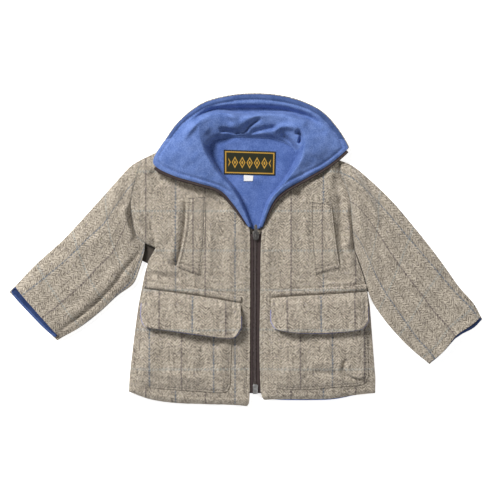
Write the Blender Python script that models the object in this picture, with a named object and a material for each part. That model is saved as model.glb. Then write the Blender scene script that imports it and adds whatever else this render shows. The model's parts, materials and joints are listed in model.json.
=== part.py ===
"""Child's fleece-lined tweed jacket, laid flat and face up on the floor.

X runs to the wearer's left, Y towards the collar and Z up.
Outlines and tables are in millimetres and are turned to metres when a mesh is made.
Each cloth piece is a wall: an upper sheet of points, a lower sheet under it and a rim.
"""
import math

import bmesh
import bpy
import numpy as np

MM = 0.001

# Driving sizes in millimetres
SEAM_GAP = 0.3
LAY_GAP = 0.5
BODY_WALL = 4.0
BODY_EDGE_WALL = 2.2
BACK_EDGE_LIFT = 2.3
BACK_EDGE_TOP = 4.5
EDGE_TAPER = 11.0
FRONT_TOP = 11.4
FRONT_SIDE_DROP = 4.4
FRONT_SIDE_ROUND = 24.0
FRONT_HEM_DROP = 5.4
FRONT_HEM_ROUND = 17.0
FRONT_ZIP_DROP = 1.5
FRONT_ZIP_ROUND = 12.0
SLEEVE_TOP = 11.8
SLEEVE_EDGE_DROP = 4.8
SLEEVE_EDGE_ROUND = 26.0
SLEEVE_ARMHOLE_DROP = 4.8
SLEEVE_ARMHOLE_ROUND = 16.0
CUFF_RISE = 2.6
CUFF_RISE_LENGTH = 45.0
FLEECE_WALL = 3.0
COLLAR_TWEED_WALL = 2.0
LINING_WALL = 2.2
CUFF_LINING_WALL = 1.3
CUFF_LINING_DEPTH = 30.0
PATCH_WALL = 2.0
FLAP_WALL = 2.2
FLAP_LINING_WALL = 1.0
FLAP_CLIMB = 15.0
ZIP_TAPE_WALL = 1.0
ZIP_TAPE_TOP = 8.4
ZIP_CHAIN_WIDTH = 5.6
ZIP_CHAIN_RISE = 1.3
ZIP_OPEN_WIDTH = 3.6
LABEL_WALL = 0.6

# Outlines of the panels, each from one named corner to the next
RIGHT_HEM = [(-185, -226), (-151, -238), (-111, -244), (-63, -246), (-23, -247), (4, -249)]
RIGHT_ZIP = [(4, -249), (8, -233), (9, -127), (9, 17), (7, 36)]
RIGHT_ROLL = [(7, 36), (-11, 68), (-38, 104), (-57, 132), (-68, 164), (-63, 183)]
RIGHT_SIDE = [(-185, -226), (-184, -204), (-178, -151), (-170, -90), (-162, -50), (-156, -22), (-142, 4)]
RIGHT_ARMHOLE = [(-142, 4), (-153, 8), (-169, 18), (-178, 36), (-182, 65), (-178, 97), (-164, 146)]
RIGHT_SHOULDER = [(-164, 146), (-119, 166), (-63, 183)]
RIGHT_SLEEVE_UPPER = [(-164, 146), (-183, 134), (-207, 108), (-241, 70), (-289, 18), (-330, -20), (-370, -60)]
RIGHT_SLEEVE_LOWER = [(-147, 3), (-156, -8), (-165, -26), (-177, -52), (-202, -71), (-230, -97), (-262, -122),
                      (-294, -140)]
RIGHT_CUFF = [(-370, -60), (-345, -87), (-320, -113), (-294, -140)]
RIGHT_UNDER_CUFF = [(-377, -66), (-351, -93), (-326, -119), (-300, -144)]

LEFT_HEM = [(31, -239), (57, -238), (97, -238), (137, -237), (172, -232), (209, -228)]
LEFT_ZIP = [(31, -239), (26, -223), (24, -151), (25, -79), (26, 1), (28, 30)]
LEFT_ROLL = [(28, 30), (42, 71), (66, 100), (86, 132), (96, 161), (89, 183)]
LEFT_SIDE = [(209, -228), (210, -215), (207, -175), (204, -135), (201, -97), (199, -78), (191, -44), (175, 2)]
LEFT_ARMHOLE = [(175, 2), (172, 33), (170, 73), (164, 98), (154, 122), (150, 145)]
LEFT_SHOULDER = [(150, 145), (118, 166), (89, 183)]
LEFT_SLEEVE_UPPER = [(150, 145), (175, 134), (206, 108), (233, 82), (255, 57), (287, 18), (316, -20), (343, -58),
                     (366, -84), (378, -106)]
LEFT_SLEEVE_LOWER = [(177, 1), (187, -18), (196, -44), (204, -78), (214, -97), (233, -122), (257, -148),
                     (278, -167), (295, -180)]
LEFT_CUFF = [(378, -106), (361, -119), (337, -135), (318, -159), (295, -180)]
LEFT_UNDER_CUFF = [(381, -110), (366, -124), (340, -138), (319, -161), (296, -182)]

BACK_HEM = [(-183, -216), (-71, -220), (17, -220), (105, -220), (208, -216)]
BACK_NECK = [(-63, 183), (20, 186), (89, 183)]

# Sewn-on pieces: four edges each, running inward along the panel
WELTS = {
    "right": {"top": [(-90, 84), (-62, 87)], "bottom": [(-106, -28), (-71, -41)],
              "mouth": [(-106, -28), (-97, 10), (-92, 40), (-90, 84)], "inner": [(-71, -41), (-64, 20), (-62, 87)]},
    "left": {"top": [(106, 78), (138, 74)], "bottom": [(113, -39), (152, -29)],
             "mouth": [(152, -29), (145, 15), (138, 74)], "inner": [(113, -39), (107, 20), (106, 78)]},
}
FLAPS = {
    "right": {"seam": [(-160, -62), (-119, -67), (-63, -75), (-7, -85)],
              "low": [(-164, -104), (-157, -119), (-135, -124), (-87, -130), (-39, -137), (-17, -137), (-6, -122)],
              "side": [(-160, -62), (-163, -84), (-164, -104)], "inner": [(-7, -85), (-6, -104), (-6, -122)]},
    "left": {"seam": [(43, -76), (89, -73), (145, -70), (195, -66)],
             "low": [(43, -112), (50, -123), (65, -127), (97, -130), (145, -129), (184, -124), (196, -112)],
             "side": [(195, -66), (196, -90), (196, -112)], "inner": [(43, -76), (43, -94), (43, -112)]},
}
BAND_HEIGHT = 11.5
POCKETS = {
    "right": {"top": [(-162, -82), (-90, -89), (-20, -102)],
              "low": [(-174, -196), (-168, -212), (-150, -218), (-90, -223), (-36, -226), (-25, -219), (-23, -206)],
              "side": [(-162, -82), (-169, -140), (-174, -196)], "inner": [(-20, -102), (-21, -150), (-23, -206)]},
    "left": {"top": [(43, -93), (110, -89), (193, -84)],
             "low": [(42, -203), (46, -216), (58, -220), (100, -221), (150, -217), (188, -213), (197, -200)],
             "side": [(193, -84), (196, -140), (197, -200)], "inner": [(43, -93), (42, -150), (42, -203)]},
}

# Collar sections round the neck from the slider up the right front, round the back and down the left front.
# Columns: outer edge x, y and top height; crest of the roll x, y and height; foot inside the neck x, y and height
COLLAR_SECTIONS = [
    (7, 38, 14.0, 9, 39, 14.4, 11, 39, 12.0),
    (-14, 70, 19.0, -7, 74, 22.0, -2, 76, 10.6),
    (-38, 96, 22.5, -22, 99, 26.5, -16, 101, 10.2),
    (-74, 108, 23.5, -44, 123, 29.5, -37, 126, 10.2),
    (-111, 119, 21.5, -58, 145, 31.5, -50, 148, 10.2),
    (-139, 133, 19.0, -67, 166, 32.0, -56, 161, 10.2),
    (-143, 147, 18.0, -70, 177, 32.0, -55, 169, 10.2),
    (-124, 177, 14.0, -71, 194, 31.0, -46, 177, 10.2),
    (-102, 206, 11.5, -60, 206, 28.0, -30, 180, 10.2),
    (-66, 233, 10.0, -38, 211, 25.0, -16, 182, 10.2),
    (-23, 245, 9.4, -8, 209, 22.0, 1, 182, 10.2),
    (17, 248, 9.2, 20, 208, 21.0, 20, 181, 10.2),
    (57, 245, 9.4, 46, 208, 22.0, 40, 180, 10.2),
    (94, 235, 10.0, 67, 209, 24.0, 54, 176, 10.2),
    (124, 219, 11.0, 82, 204, 27.0, 68, 171, 10.2),
    (146, 195, 12.0, 92, 190, 29.5, 77, 165, 10.2),
    (163, 167, 15.0, 96, 174, 31.0, 81, 158, 10.2),
    (159, 158, 16.5, 95, 160, 31.0, 82, 150, 10.2),
    (132, 136, 18.5, 91, 144, 29.0, 78, 139, 10.2),
    (98, 116, 19.5, 81, 128, 26.0, 70, 124, 10.2),
    (63, 96, 20.0, 58, 99, 22.5, 52, 100, 10.2),
    (44, 76, 19.0, 41, 78, 20.5, 37, 80, 10.6),
    (28, 38, 14.0, 26, 39, 14.4, 24, 39, 12.0),
]

# Largest folds. Columns: start x, y; end x, y; half width; height, below zero for a trough
FRONT_FOLDS = [
    (-164, 40, -150, 14, 9, -2.6),
    (-170, 60, -160, 44, 8, 1.4),
    (-150, 30, -128, -6, 12, 1.6),
    (-120, 90, -112, -20, 14, 1.0),
    (-50, 60, -46, -60, 16, 0.9),
    (-20, 0, -16, -70, 12, -0.8),
    (-150, -34, -108, -40, 8, -0.9),
    (140, 88, 164, 48, 12, -2.4),
    (160, 44, 168, 8, 9, 1.3),
    (76, 70, 84, -40, 16, 1.1),
    (52, 40, 48, -50, 12, -0.8),
    (162, -10, 178, -48, 12, 1.2),
]
POCKET_FOLDS = [
    (-104, -150, -96, -205, 12, 1.6),
    (-62, -150, -58, -205, 12, -0.9),
    (-146, -150, -144, -200, 14, 1.2),
    (80, -150, 84, -205, 16, 1.4),
    (158, -180, 162, -198, 5, -1.5),
    (162, -198, 184, -208, 5, -1.5),
    (112, -186, 156, -192, 9, 1.2),
]
SLEEVE_FOLDS = [
    (-206, -14, -262, -88, 7, -1.9),
    (-262, -88, -304, -128, 7, -1.5),
    (-196, 60, -240, 10, 16, 1.4),
    (-250, 20, -330, -60, 18, 0.9),
    (-190, 96, -196, 20, 12, -0.9),
    (178, 118, 202, 70, 9, 1.7),
    (196, 92, 214, 30, 12, -1.2),
    (214, 34, 296, -90, 16, 1.3),
    (262, 28, 340, -76, 12, -0.9),
    (204, -38, 244, -96, 9, -1.1),
]
COLLAR_FOLDS = [
    (-58, 226, -10, 228, 6, -3.9),
    (-10, 228, 40, 227, 6, -3.2),
    (40, 227, 92, 222, 6, -3.9),
    (-34, 200, -8, 196, 6, 5.5),
    (-32, 190, -2, 191, 4, -4.0),
    (-8, 206, 26, 199, 5, -4.5),
    (20, 192, 52, 195, 6, -3.5),
    (46, 187, 84, 188, 5, 4.0),
    (-96, 180, -84, 140, 22, 1.5),
    (112, 180, 116, 150, 18, 1.4),
]
# Waves of the flaps' free edges. Columns: flap, place along it from the side, half width along it, lift
FLAP_WAVES = [
    ("right", 0.12, 0.10, 2.0),
    ("right", 0.55, 0.18, 2.4),
    ("right", 0.92, 0.10, 2.2),
    ("left", 0.10, 0.10, 0.8),
    ("left", 0.72, 0.18, 2.4),
    ("left", 0.95, 0.08, 3.0),
]
FLAP_LIFT = 2.6


def smooth(points, count):
    """Even points along a smooth curve through the given ones."""
    pts = np.array(points, float)
    if len(pts) == 2:
        return pts[0] + np.linspace(0, 1, count)[:, None] * (pts[1] - pts[0])
    ends = np.vstack([2 * pts[0] - pts[1], pts, 2 * pts[-1] - pts[-2]])
    dense = []
    for i in range(1, len(ends) - 2):
        a, b, c, d = ends[i - 1], ends[i], ends[i + 1], ends[i + 2]
        for t in np.linspace(0, 1, 16, endpoint=False):
            dense.append(0.5 * (2 * b + (c - a) * t + (2 * a - 5 * b + 4 * c - d) * t * t
                                + (3 * b - a - 3 * c + d) * t ** 3))
    dense.append(ends[-2])
    dense = np.array(dense)
    return at_shares(dense, np.linspace(0, 1, count))


def at_shares(path, shares):
    """Points of a path at shares of its length."""
    steps = np.linalg.norm(np.diff(path, axis=0), axis=1)
    length = np.concatenate([[0], np.cumsum(steps)])
    length /= length[-1]
    return np.stack([np.interp(shares, length, path[:, k]) for k in range(path.shape[1])], axis=1)


def shares_with_edges(count, start, end):
    """Even shares from 0 to 1 with a finer share kept beside each end."""
    inner = np.linspace(0, 1, count)
    extra = [s for s in (start, 2.1 * start) if s > 0] + [1 - s for s in (end, 2.1 * end) if s > 0]
    keep = [s for s in inner if all(abs(s - e) > 0.6 * min(max(start, 0.01), max(end, 0.01)) for e in extra)]
    return np.array(sorted(set(keep) | set(extra)))


def patch(low, high, first, last, across, along):
    """Grid of a four-sided patch: low and high run across, first and last run along."""
    low_p = at_shares(low, across)
    high_p = at_shares(high, across)
    first_p = at_shares(first, along)
    last_p = at_shares(last, along)
    u = across[None, :, None]
    v = along[:, None, None]
    ruled = (1 - v) * low_p[None] + v * high_p[None] + (1 - u) * first_p[:, None] + u * last_p[:, None]
    corner = ((1 - u) * (1 - v) * low_p[0] + u * (1 - v) * low_p[-1]
              + (1 - u) * v * high_p[0] + u * v * high_p[-1])
    return ruled - corner


def distance(grid, path):
    """Least distance of each grid point from a path."""
    a = path[:-1]
    step = np.diff(path, axis=0)
    rel = grid[..., None, :2] - a
    span = np.maximum((step * step).sum(-1), 1e-9)
    t = np.clip((rel * step).sum(-1) / span, 0, 1)
    return np.linalg.norm(rel - t[..., None] * step, axis=-1).min(-1)


def sewn_reach(grid, table):
    """Least distance of each grid point from a patch's three sewn edges."""
    edges = [distance(grid, smooth(table[key], 30)) for key in ("side", "low", "inner")]
    return np.minimum(np.minimum(edges[0], edges[1]), edges[2])


def ease(value, span):
    """Quarter-round rise from 0 to 1 over the span."""
    return np.sin(np.clip(value / span, 0, 1) * math.pi / 2)


def folds(grid, table):
    """Sum of soft ridges and troughs at each grid point."""
    height = np.zeros(grid.shape[:-1])
    for x0, y0, x1, y1, half, rise in table:
        reach = distance(grid, np.array([(x0, y0), (x1, y1)], float))
        height += rise * np.exp(-(reach / half) ** 2)
    return height


def moved(path, reach):
    """Path moved sideways to its left by the reach."""
    tangent = np.gradient(path, axis=0)
    tangent /= np.linalg.norm(tangent, axis=1)[:, None]
    return path + reach * np.stack([-tangent[:, 1], tangent[:, 0]], axis=1)


def material(name, colour, roughness, metallic=0.0):
    """Plain surface of one colour."""
    made = bpy.data.materials.get(name)
    if made is None:
        made = bpy.data.materials.new(name)
        made.use_nodes = True
        shader = made.node_tree.nodes["Principled BSDF"]
        shader.inputs["Base Color"].default_value = (*colour, 1)
        shader.inputs["Roughness"].default_value = roughness
        shader.inputs["Metallic"].default_value = metallic
        made.diffuse_color = (*colour, 1)
    return made


TWEED = ("tweed", (0.37, 0.31, 0.24), 0.95, 0.0)
FLEECE = ("fleece", (0.075, 0.15, 0.42), 0.95, 0.0)
LILAC = ("lilac_fleece", (0.25, 0.25, 0.5), 0.95, 0.0)
TAPE = ("zip_tape", (0.05, 0.03, 0.025), 0.8, 0.0)
NYLON = ("zip_nylon", (0.06, 0.035, 0.03), 0.5, 0.0)
METAL = ("zip_metal", (0.5, 0.48, 0.45), 0.35, 1.0)
LABEL = ("label_tape", (0.015, 0.02, 0.015), 0.7, 0.0)
TAB = ("tab_tape", (0.8, 0.8, 0.8), 0.8, 0.0)

ROOT = None


def add(name, verts, faces, look):
    """One closed named solid from points in millimetres."""
    mesh = bpy.data.meshes.new(name)
    mesh.from_pydata([tuple(MM * c for c in v) for v in verts], [], faces)
    work = bmesh.new()
    work.from_mesh(mesh)
    bmesh.ops.recalc_face_normals(work, faces=work.faces)
    bmesh.ops.triangulate(work, faces=[f for f in work.faces if len(f.verts) > 4])
    work.to_mesh(mesh)
    work.free()
    mesh.materials.append(material(*look))
    made = bpy.data.objects.new(name, mesh)
    bpy.context.scene.collection.objects.link(made)
    made.parent = ROOT
    return made


def wall(name, grid, top, bottom, look):
    """Closed wall between an upper and a lower sheet over one grid."""
    rows, cols = grid.shape[:2]
    size = rows * cols
    upper = np.concatenate([grid, top[..., None]], axis=-1).reshape(-1, 3)
    lower = np.concatenate([grid, bottom[..., None]], axis=-1).reshape(-1, 3)
    faces = []
    for i in range(rows - 1):
        for j in range(cols - 1):
            a = i * cols + j
            quad = (a, a + 1, a + cols + 1, a + cols)
            faces.append(quad)
            faces.append(tuple(size + k for k in reversed(quad)))
    rim = [j for j in range(cols)]
    rim += [i * cols + cols - 1 for i in range(1, rows)]
    rim += [(rows - 1) * cols + j for j in range(cols - 2, -1, -1)]
    rim += [i * cols for i in range(rows - 2, 0, -1)]
    for k, a in enumerate(rim):
        b = rim[(k + 1) % len(rim)]
        faces.append((a, size + a, size + b, b))
    return add(name, np.vstack([upper, lower]), faces, look)


def block(name, outline, bottom, top, look):
    """Upright prism over a convex outline."""
    n = len(outline)
    verts = [(x, y, bottom) for x, y in outline] + [(x, y, top) for x, y in outline]
    faces = [tuple(range(n - 1, -1, -1)), tuple(range(n, 2 * n))]
    faces += [(k, (k + 1) % n, n + (k + 1) % n, n + k) for k in range(n)]
    return add(name, verts, faces, look)


class Side:
    """Paths of one side of the jacket, the armhole sampled once for all four panels on it."""

    def __init__(self, hem, zip_edge, roll, side, armhole, shoulder, upper, lower, cuff, under_cuff, turn):
        self.hem = smooth(hem, 60)
        self.inner = np.vstack([smooth(zip_edge, 50), smooth(roll, 40)[1:]])
        self.side = smooth(side, 11)
        self.armhole = smooth(armhole, 10)
        self.shoulder = smooth(shoulder, 20)
        self.outer = np.vstack([self.side, self.armhole[1:]])
        self.seams = np.vstack([self.outer, self.shoulder[1:]])
        self.upper = smooth(upper, 60)
        self.lower = smooth(lower, 60)
        self.cuff = smooth(cuff, 40)
        self.under_cuff = smooth(under_cuff, 40)
        self.turn = turn


RIGHT = Side(RIGHT_HEM, RIGHT_ZIP, RIGHT_ROLL, RIGHT_SIDE, RIGHT_ARMHOLE, RIGHT_SHOULDER, RIGHT_SLEEVE_UPPER,
             RIGHT_SLEEVE_LOWER, RIGHT_CUFF, RIGHT_UNDER_CUFF, 1.0)
LEFT = Side(LEFT_HEM, LEFT_ZIP, LEFT_ROLL, LEFT_SIDE, LEFT_ARMHOLE, LEFT_SHOULDER, LEFT_SLEEVE_UPPER,
            LEFT_SLEEVE_LOWER, LEFT_CUFF, LEFT_UNDER_CUFF, -1.0)


def front_top(side, grid):
    """Height of a front's face."""
    drop = FRONT_SIDE_DROP * (1 - ease(distance(grid, side.seams), FRONT_SIDE_ROUND))
    drop = np.maximum(drop, FRONT_HEM_DROP * (1 - ease(distance(grid, side.hem), FRONT_HEM_ROUND)))
    drop = np.maximum(drop, FRONT_ZIP_DROP * (1 - ease(distance(grid, side.inner), FRONT_ZIP_ROUND)))
    calm = ease(np.minimum(distance(grid, side.seams), distance(grid, side.inner)), 16.0)
    return FRONT_TOP - drop + calm * folds(grid, FRONT_FOLDS)


def edge_wall(reach):
    """Wall thickness, pressed thin at a seam."""
    return BODY_EDGE_WALL + (BODY_WALL - BODY_EDGE_WALL) * ease(reach, EDGE_TAPER)


def add_front(name, side):
    """Front panel from hem to shoulder, between the side seam with the armhole and the zip edge."""
    outer_shares = path_shares(side.outer)
    across = shares_with_edges(13, 0.035, 0.045)
    hem = side.hem if side is RIGHT else side.hem[::-1]
    grid = patch(hem, side.shoulder, side.outer, side.inner, across, refined(outer_shares))
    top = front_top(side, grid)
    reach = np.minimum(distance(grid, side.seams), distance(grid, side.inner))
    bottom = top - edge_wall(reach)
    lowest = BODY_WALL + SEAM_GAP
    off_back = grid[..., 1] < -214
    bottom = np.where(off_back, bottom, np.maximum(bottom, lowest))
    return wall(name, grid, top, bottom, TWEED)


def path_shares(path):
    """Share of the length at each point of a path."""
    steps = np.linalg.norm(np.diff(path, axis=0), axis=1)
    length = np.concatenate([[0], np.cumsum(steps)])
    return length / length[-1]


def refined(shares):
    """Shares with two finer ones added at the start, for the turned hem."""
    return np.array(sorted(set(shares) | {0.012, 0.026}))


def add_back():
    """Back panel, its underside flat on the floor and its edges curling up to the seams."""
    left_side = np.vstack([RIGHT.side[::2], RIGHT.armhole[1:]])
    right_side = np.vstack([LEFT.side[::2], LEFT.armhole[1:]])
    left_side[0] = BACK_HEM[0]
    right_side[0] = BACK_HEM[-1]
    neck = smooth(BACK_NECK, 30)
    top_edge = np.vstack([RIGHT.shoulder, neck[1:], LEFT.shoulder[::-1][1:]])
    hem = smooth(BACK_HEM, 40)
    across = shares_with_edges(8, 0.014, 0.014)
    along = np.array(sorted(set(path_shares(left_side)) | {0.984}))
    grid = patch(hem, top_edge, left_side, right_side, across, along)
    edge = np.vstack([left_side, RIGHT.shoulder[1:]])
    other = np.vstack([right_side, LEFT.shoulder[1:]])
    reach = np.minimum(distance(grid, edge), distance(grid, other))
    rise = 1 - ease(reach, EDGE_TAPER)
    top = BODY_WALL + (BACK_EDGE_TOP - BODY_WALL) * rise
    bottom = BACK_EDGE_LIFT * rise
    wall("back_panel", grid, top, bottom, TWEED)


def sleeve_top(side, grid, armhole):
    """Height of an upper sleeve's face."""
    edges = np.minimum(distance(grid, side.upper), distance(grid, side.lower))
    drop = SLEEVE_EDGE_DROP * (1 - ease(edges, SLEEVE_EDGE_ROUND))
    drop = np.maximum(drop, SLEEVE_ARMHOLE_DROP * (1 - ease(distance(grid, armhole), SLEEVE_ARMHOLE_ROUND)))
    mouth = 1 - ease(distance(grid, side.cuff), CUFF_RISE_LENGTH)
    calm = ease(np.minimum(edges, distance(grid, armhole)), 15.0)
    return SLEEVE_TOP - drop + calm * (folds(grid, SLEEVE_FOLDS) + CUFF_RISE * mouth)


def add_sleeve(name, side):
    """Upper and under halves of a sleeve, side by side with the body along the armhole."""
    armhole = moved(side.armhole, side.turn * SEAM_GAP)[::-1]
    upper = side.upper.copy()
    lower = side.lower.copy()
    upper[0] = armhole[0]
    armhole[-1] = lower[0]
    across = path_shares(armhole)
    along = shares_with_edges(14, 0.02, 0.02)
    grid = patch(armhole, side.cuff, upper, lower, across, along)
    top = sleeve_top(side, grid, armhole)
    edges = np.minimum(np.minimum(distance(grid, upper), distance(grid, lower)), distance(grid, armhole))
    wall("sleeve_top_" + name, grid, top, top - edge_wall(edges), TWEED)
    under_upper = np.vstack([upper[:-1], side.under_cuff[:1]])
    under_lower = np.vstack([lower[:-1], side.under_cuff[-1:]])
    along = shares_with_edges(10, 0.02, 0.02)
    grid = patch(armhole, side.under_cuff, under_upper, under_lower, across, along)
    edges = np.minimum(np.minimum(distance(grid, under_upper), distance(grid, under_lower)),
                       distance(grid, armhole))
    rise = 1 - ease(edges, EDGE_TAPER)
    wall("sleeve_under_" + name, grid, BODY_WALL + (BACK_EDGE_TOP - BODY_WALL) * rise, BACK_EDGE_LIFT * rise, TWEED)


def add_cuff_lining(name, side):
    """Flattened fleece ring inside a cuff mouth, level with the under sleeve's end."""
    start = side.under_cuff
    axis = start[-1] - start[0]
    width = np.linalg.norm(axis)
    axis = axis / width
    inward = np.array([axis[1], -axis[0]]) * -1.0
    if np.dot(inward, side.armhole[6] - start[20]) < 0:
        inward = -inward
    loops = []
    for depth, top in ((1.5, 10.4), (CUFF_LINING_DEPTH, 7.6)):
        rings = []
        for inset in (0.0, CUFF_LINING_WALL):
            ring = []
            low = BODY_WALL + LAY_GAP + 0.2 + inset
            high = top - inset
            half = width / 2 - 15.0 - inset
            for k in range(20):
                turn = 2 * math.pi * k / 20
                c, s = math.cos(turn), math.sin(turn)
                shift = half * math.copysign(abs(c) ** 0.5, c)
                height = (low + high) / 2 + (high - low) / 2 * math.copysign(abs(s) ** 0.7, s)
                share = 0.5 + shift / width
                spot = at_shares(start, np.array([share]))[0] + inward * depth
                ring.append((spot[0], spot[1], height))
            rings.append(ring)
        loops.append(rings)
    verts = loops[0][0] + loops[0][1] + loops[1][0] + loops[1][1]
    n = 20
    faces = []
    for k in range(n):
        j = (k + 1) % n
        faces.append((k, j, 2 * n + j, 2 * n + k))
        faces.append((n + j, n + k, 3 * n + k, 3 * n + j))
        faces.append((k, n + k, n + j, j))
        faces.append((2 * n + k, 2 * n + j, 3 * n + j, 3 * n + k))
    add("cuff_lining_" + name, verts, faces, FLEECE)


def patch_top(side, grid):
    """Height of a sewn-on patch's face, moved out from the front's points."""
    return front_top(side, grid) + LAY_GAP + PATCH_WALL


def pocket_top(name, side, grid):
    """Height of a patch pocket's face, fuller in the middle."""
    full = ease(sewn_reach(grid, POCKETS[name]), 26.0)
    return patch_top(side, grid) + full * (1.6 + folds(grid, POCKET_FOLDS))


def four_sided(table, low_key, high_key, first_key, last_key, across, along):
    """Grid of a sewn-on piece from its named edges."""
    low = smooth(table[low_key], 60)
    high = smooth(table[high_key], 60)
    return patch(low, high, smooth(table[first_key], 40), smooth(table[last_key], 40), across, along)


def add_pocket(name, side):
    """Patch pocket with rounded lower corners."""
    table = POCKETS[name]
    first, last = ("side", "inner") if side is RIGHT else ("inner", "side")
    across = shares_with_edges(11, 0.05, 0.05)
    grid = four_sided(table, "top", "low", first, last, across, shares_with_edges(10, 0.0, 0.06))
    top = pocket_top(name, side, grid)
    bottom = front_top(side, grid) + LAY_GAP
    lift = ease(sewn_reach(grid, table), 26.0)
    bottom = np.maximum(bottom, np.minimum(top - PATCH_WALL, bottom + 3.0 * lift))
    wall("pocket_" + name, grid, top, bottom, TWEED)


def flap_bottom(name, side, grid, along):
    """Height of the flap lining's underside: on the front at the seam, over the pocket below it."""
    seam = smooth(FLAPS[name]["seam"], 60)
    down = distance(grid, seam)
    climb = 0.5 - 0.5 * np.cos(np.clip(down / FLAP_CLIMB, 0, 1) * math.pi)
    rest = front_top(side, grid) + LAY_GAP
    over = pocket_top(name, side, grid) + 2 * LAY_GAP + FLAP_LINING_WALL + SEAM_GAP
    lift = FLAP_LIFT * along ** 2
    place = np.broadcast_to(np.linspace(0, 1, grid.shape[1])[None, :], lift.shape)
    for flap, spot, half, rise in FLAP_WAVES:
        if flap == name:
            lift = lift + rise * along ** 1.6 * np.exp(-((place - spot) / half) ** 2)
    return rest + climb * np.maximum(over - rest, 0) + lift


def add_flap(name, side):
    """Pocket flap, its lining and the stitched band above it."""
    table = FLAPS[name]
    first, last = ("side", "inner") if side is RIGHT else ("inner", "side")
    across = shares_with_edges(13, 0.03, 0.03)
    along = shares_with_edges(7, 0.0, 0.06)
    grid = four_sided(table, "seam", "low", first, last, across, along)
    share = np.broadcast_to(along[:, None], grid.shape[:2])
    bottom = flap_bottom(name, side, grid, share)
    wall("flap_" + name, grid, bottom + FLAP_WALL, bottom, TWEED)
    middle = grid.mean(axis=(0, 1))
    along = np.array([0.5, 0.667, 0.833, 0.94, 1.0])
    across = shares_with_edges(13, 0.03, 0.03)
    low = four_sided(table, "seam", "low", first, last, across, along)
    share = np.broadcast_to(along[:, None], low.shape[:2])
    outward = low - middle
    outward = outward / np.linalg.norm(outward, axis=-1)[..., None]
    peek = np.zeros(low.shape[:2])
    peek[-1, :] = 1.6
    peek[:, 0] = 1.6
    peek[:, -1] = 1.6
    peek[0, :] = 0.0
    low = low + outward * peek[..., None]
    under = flap_bottom(name, side, low, share) - SEAM_GAP
    wall("flap_lining_" + name, low, under, under - FLAP_LINING_WALL, LILAC)
    seam = smooth(table["seam"], 60)
    lower_edge = moved(seam, 0.6)
    upper_edge = moved(seam, BAND_HEIGHT)
    ends = [np.array([lower_edge[k], upper_edge[k]]) for k in (0, -1)]
    grid = patch(lower_edge, upper_edge, ends[0], ends[1], np.linspace(0, 1, 15), np.linspace(0, 1, 3))
    top = patch_top(side, grid)
    wall("band_" + name, grid, top, top - PATCH_WALL, TWEED)


def add_welt(name, side):
    """Slanted chest welt, its mouth edge standing a little off the front."""
    table = WELTS[name]
    first, last = ("mouth", "inner") if side is RIGHT else ("inner", "mouth")
    low = smooth(table["bottom"], 20)
    high = smooth(table["top"], 20)
    grid = patch(low, high, smooth(table[first], 40), smooth(table[last], 40),
                 np.linspace(0, 1, 6), np.linspace(0, 1, 12))
    mouth = smooth(table["mouth"], 40)
    along = np.linspace(0, 1, 12)[:, None]
    lift = 1.8 * (1 - ease(distance(grid, mouth), 14.0)) * np.sin(along * math.pi)
    bottom = front_top(side, grid) + LAY_GAP + lift
    wall("welt_" + name, grid, bottom + PATCH_WALL, bottom, TWEED)


def collar_grid(along_count, profile):
    """Collar points from its sections: outer edge, crest and foot, with the folds added between them."""
    table = np.array(COLLAR_SECTIONS, float)
    outer = spline_rows(table[:, 0:3], along_count)
    crest = spline_rows(table[:, 3:6], along_count)
    foot = spline_rows(table[:, 6:9], along_count)
    rows = []
    for q in profile:
        if q <= 1:
            bend = q * q * (3 - 2 * q)
            rise = 0.45 * q + 0.55 * bend
            point = outer + (crest - outer) * np.array([q, q, 0])
            point[:, 2] = outer[:, 2] + (crest[:, 2] - outer[:, 2]) * rise
        else:
            t = q - 1
            fall = 1 - math.cos(t * math.pi / 2)
            point = crest + (foot - crest) * np.array([math.sin(t * math.pi / 2), math.sin(t * math.pi / 2), 0])
            point[:, 2] = crest[:, 2] + (foot[:, 2] - crest[:, 2]) * fall
        rows.append(point)
    return np.array(rows)


def spline_rows(rows, count):
    """Smooth rows between the given sections, even in section number."""
    keys = np.arange(len(rows), dtype=float)
    at = np.linspace(0, len(rows) - 1, count)
    out = np.zeros((count, rows.shape[1]))
    slope = np.gradient(rows, axis=0)
    for n, s in enumerate(at):
        k = min(int(s), len(rows) - 2)
        t = s - keys[k]
        out[n] = ((1 + 2 * t) * (1 - t) ** 2 * rows[k] + t * (1 - t) ** 2 * slope[k]
                  + t * t * (3 - 2 * t) * rows[k + 1] + t * t * (t - 1) * slope[k + 1])
    return out


COLLAR_BACK_SAG = 6.5
COLLAR_COUNT = 56
COLLAR_PROFILE = [0, 0.06, 0.16, 0.28, 0.42, 0.57, 0.72, 0.86, 1.0, 1.4, 1.7, 2.0]
COLLAR_TWEED_PROFILE = [0, 0.06, 0.25, 0.5, 0.75, 1.0]


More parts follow.
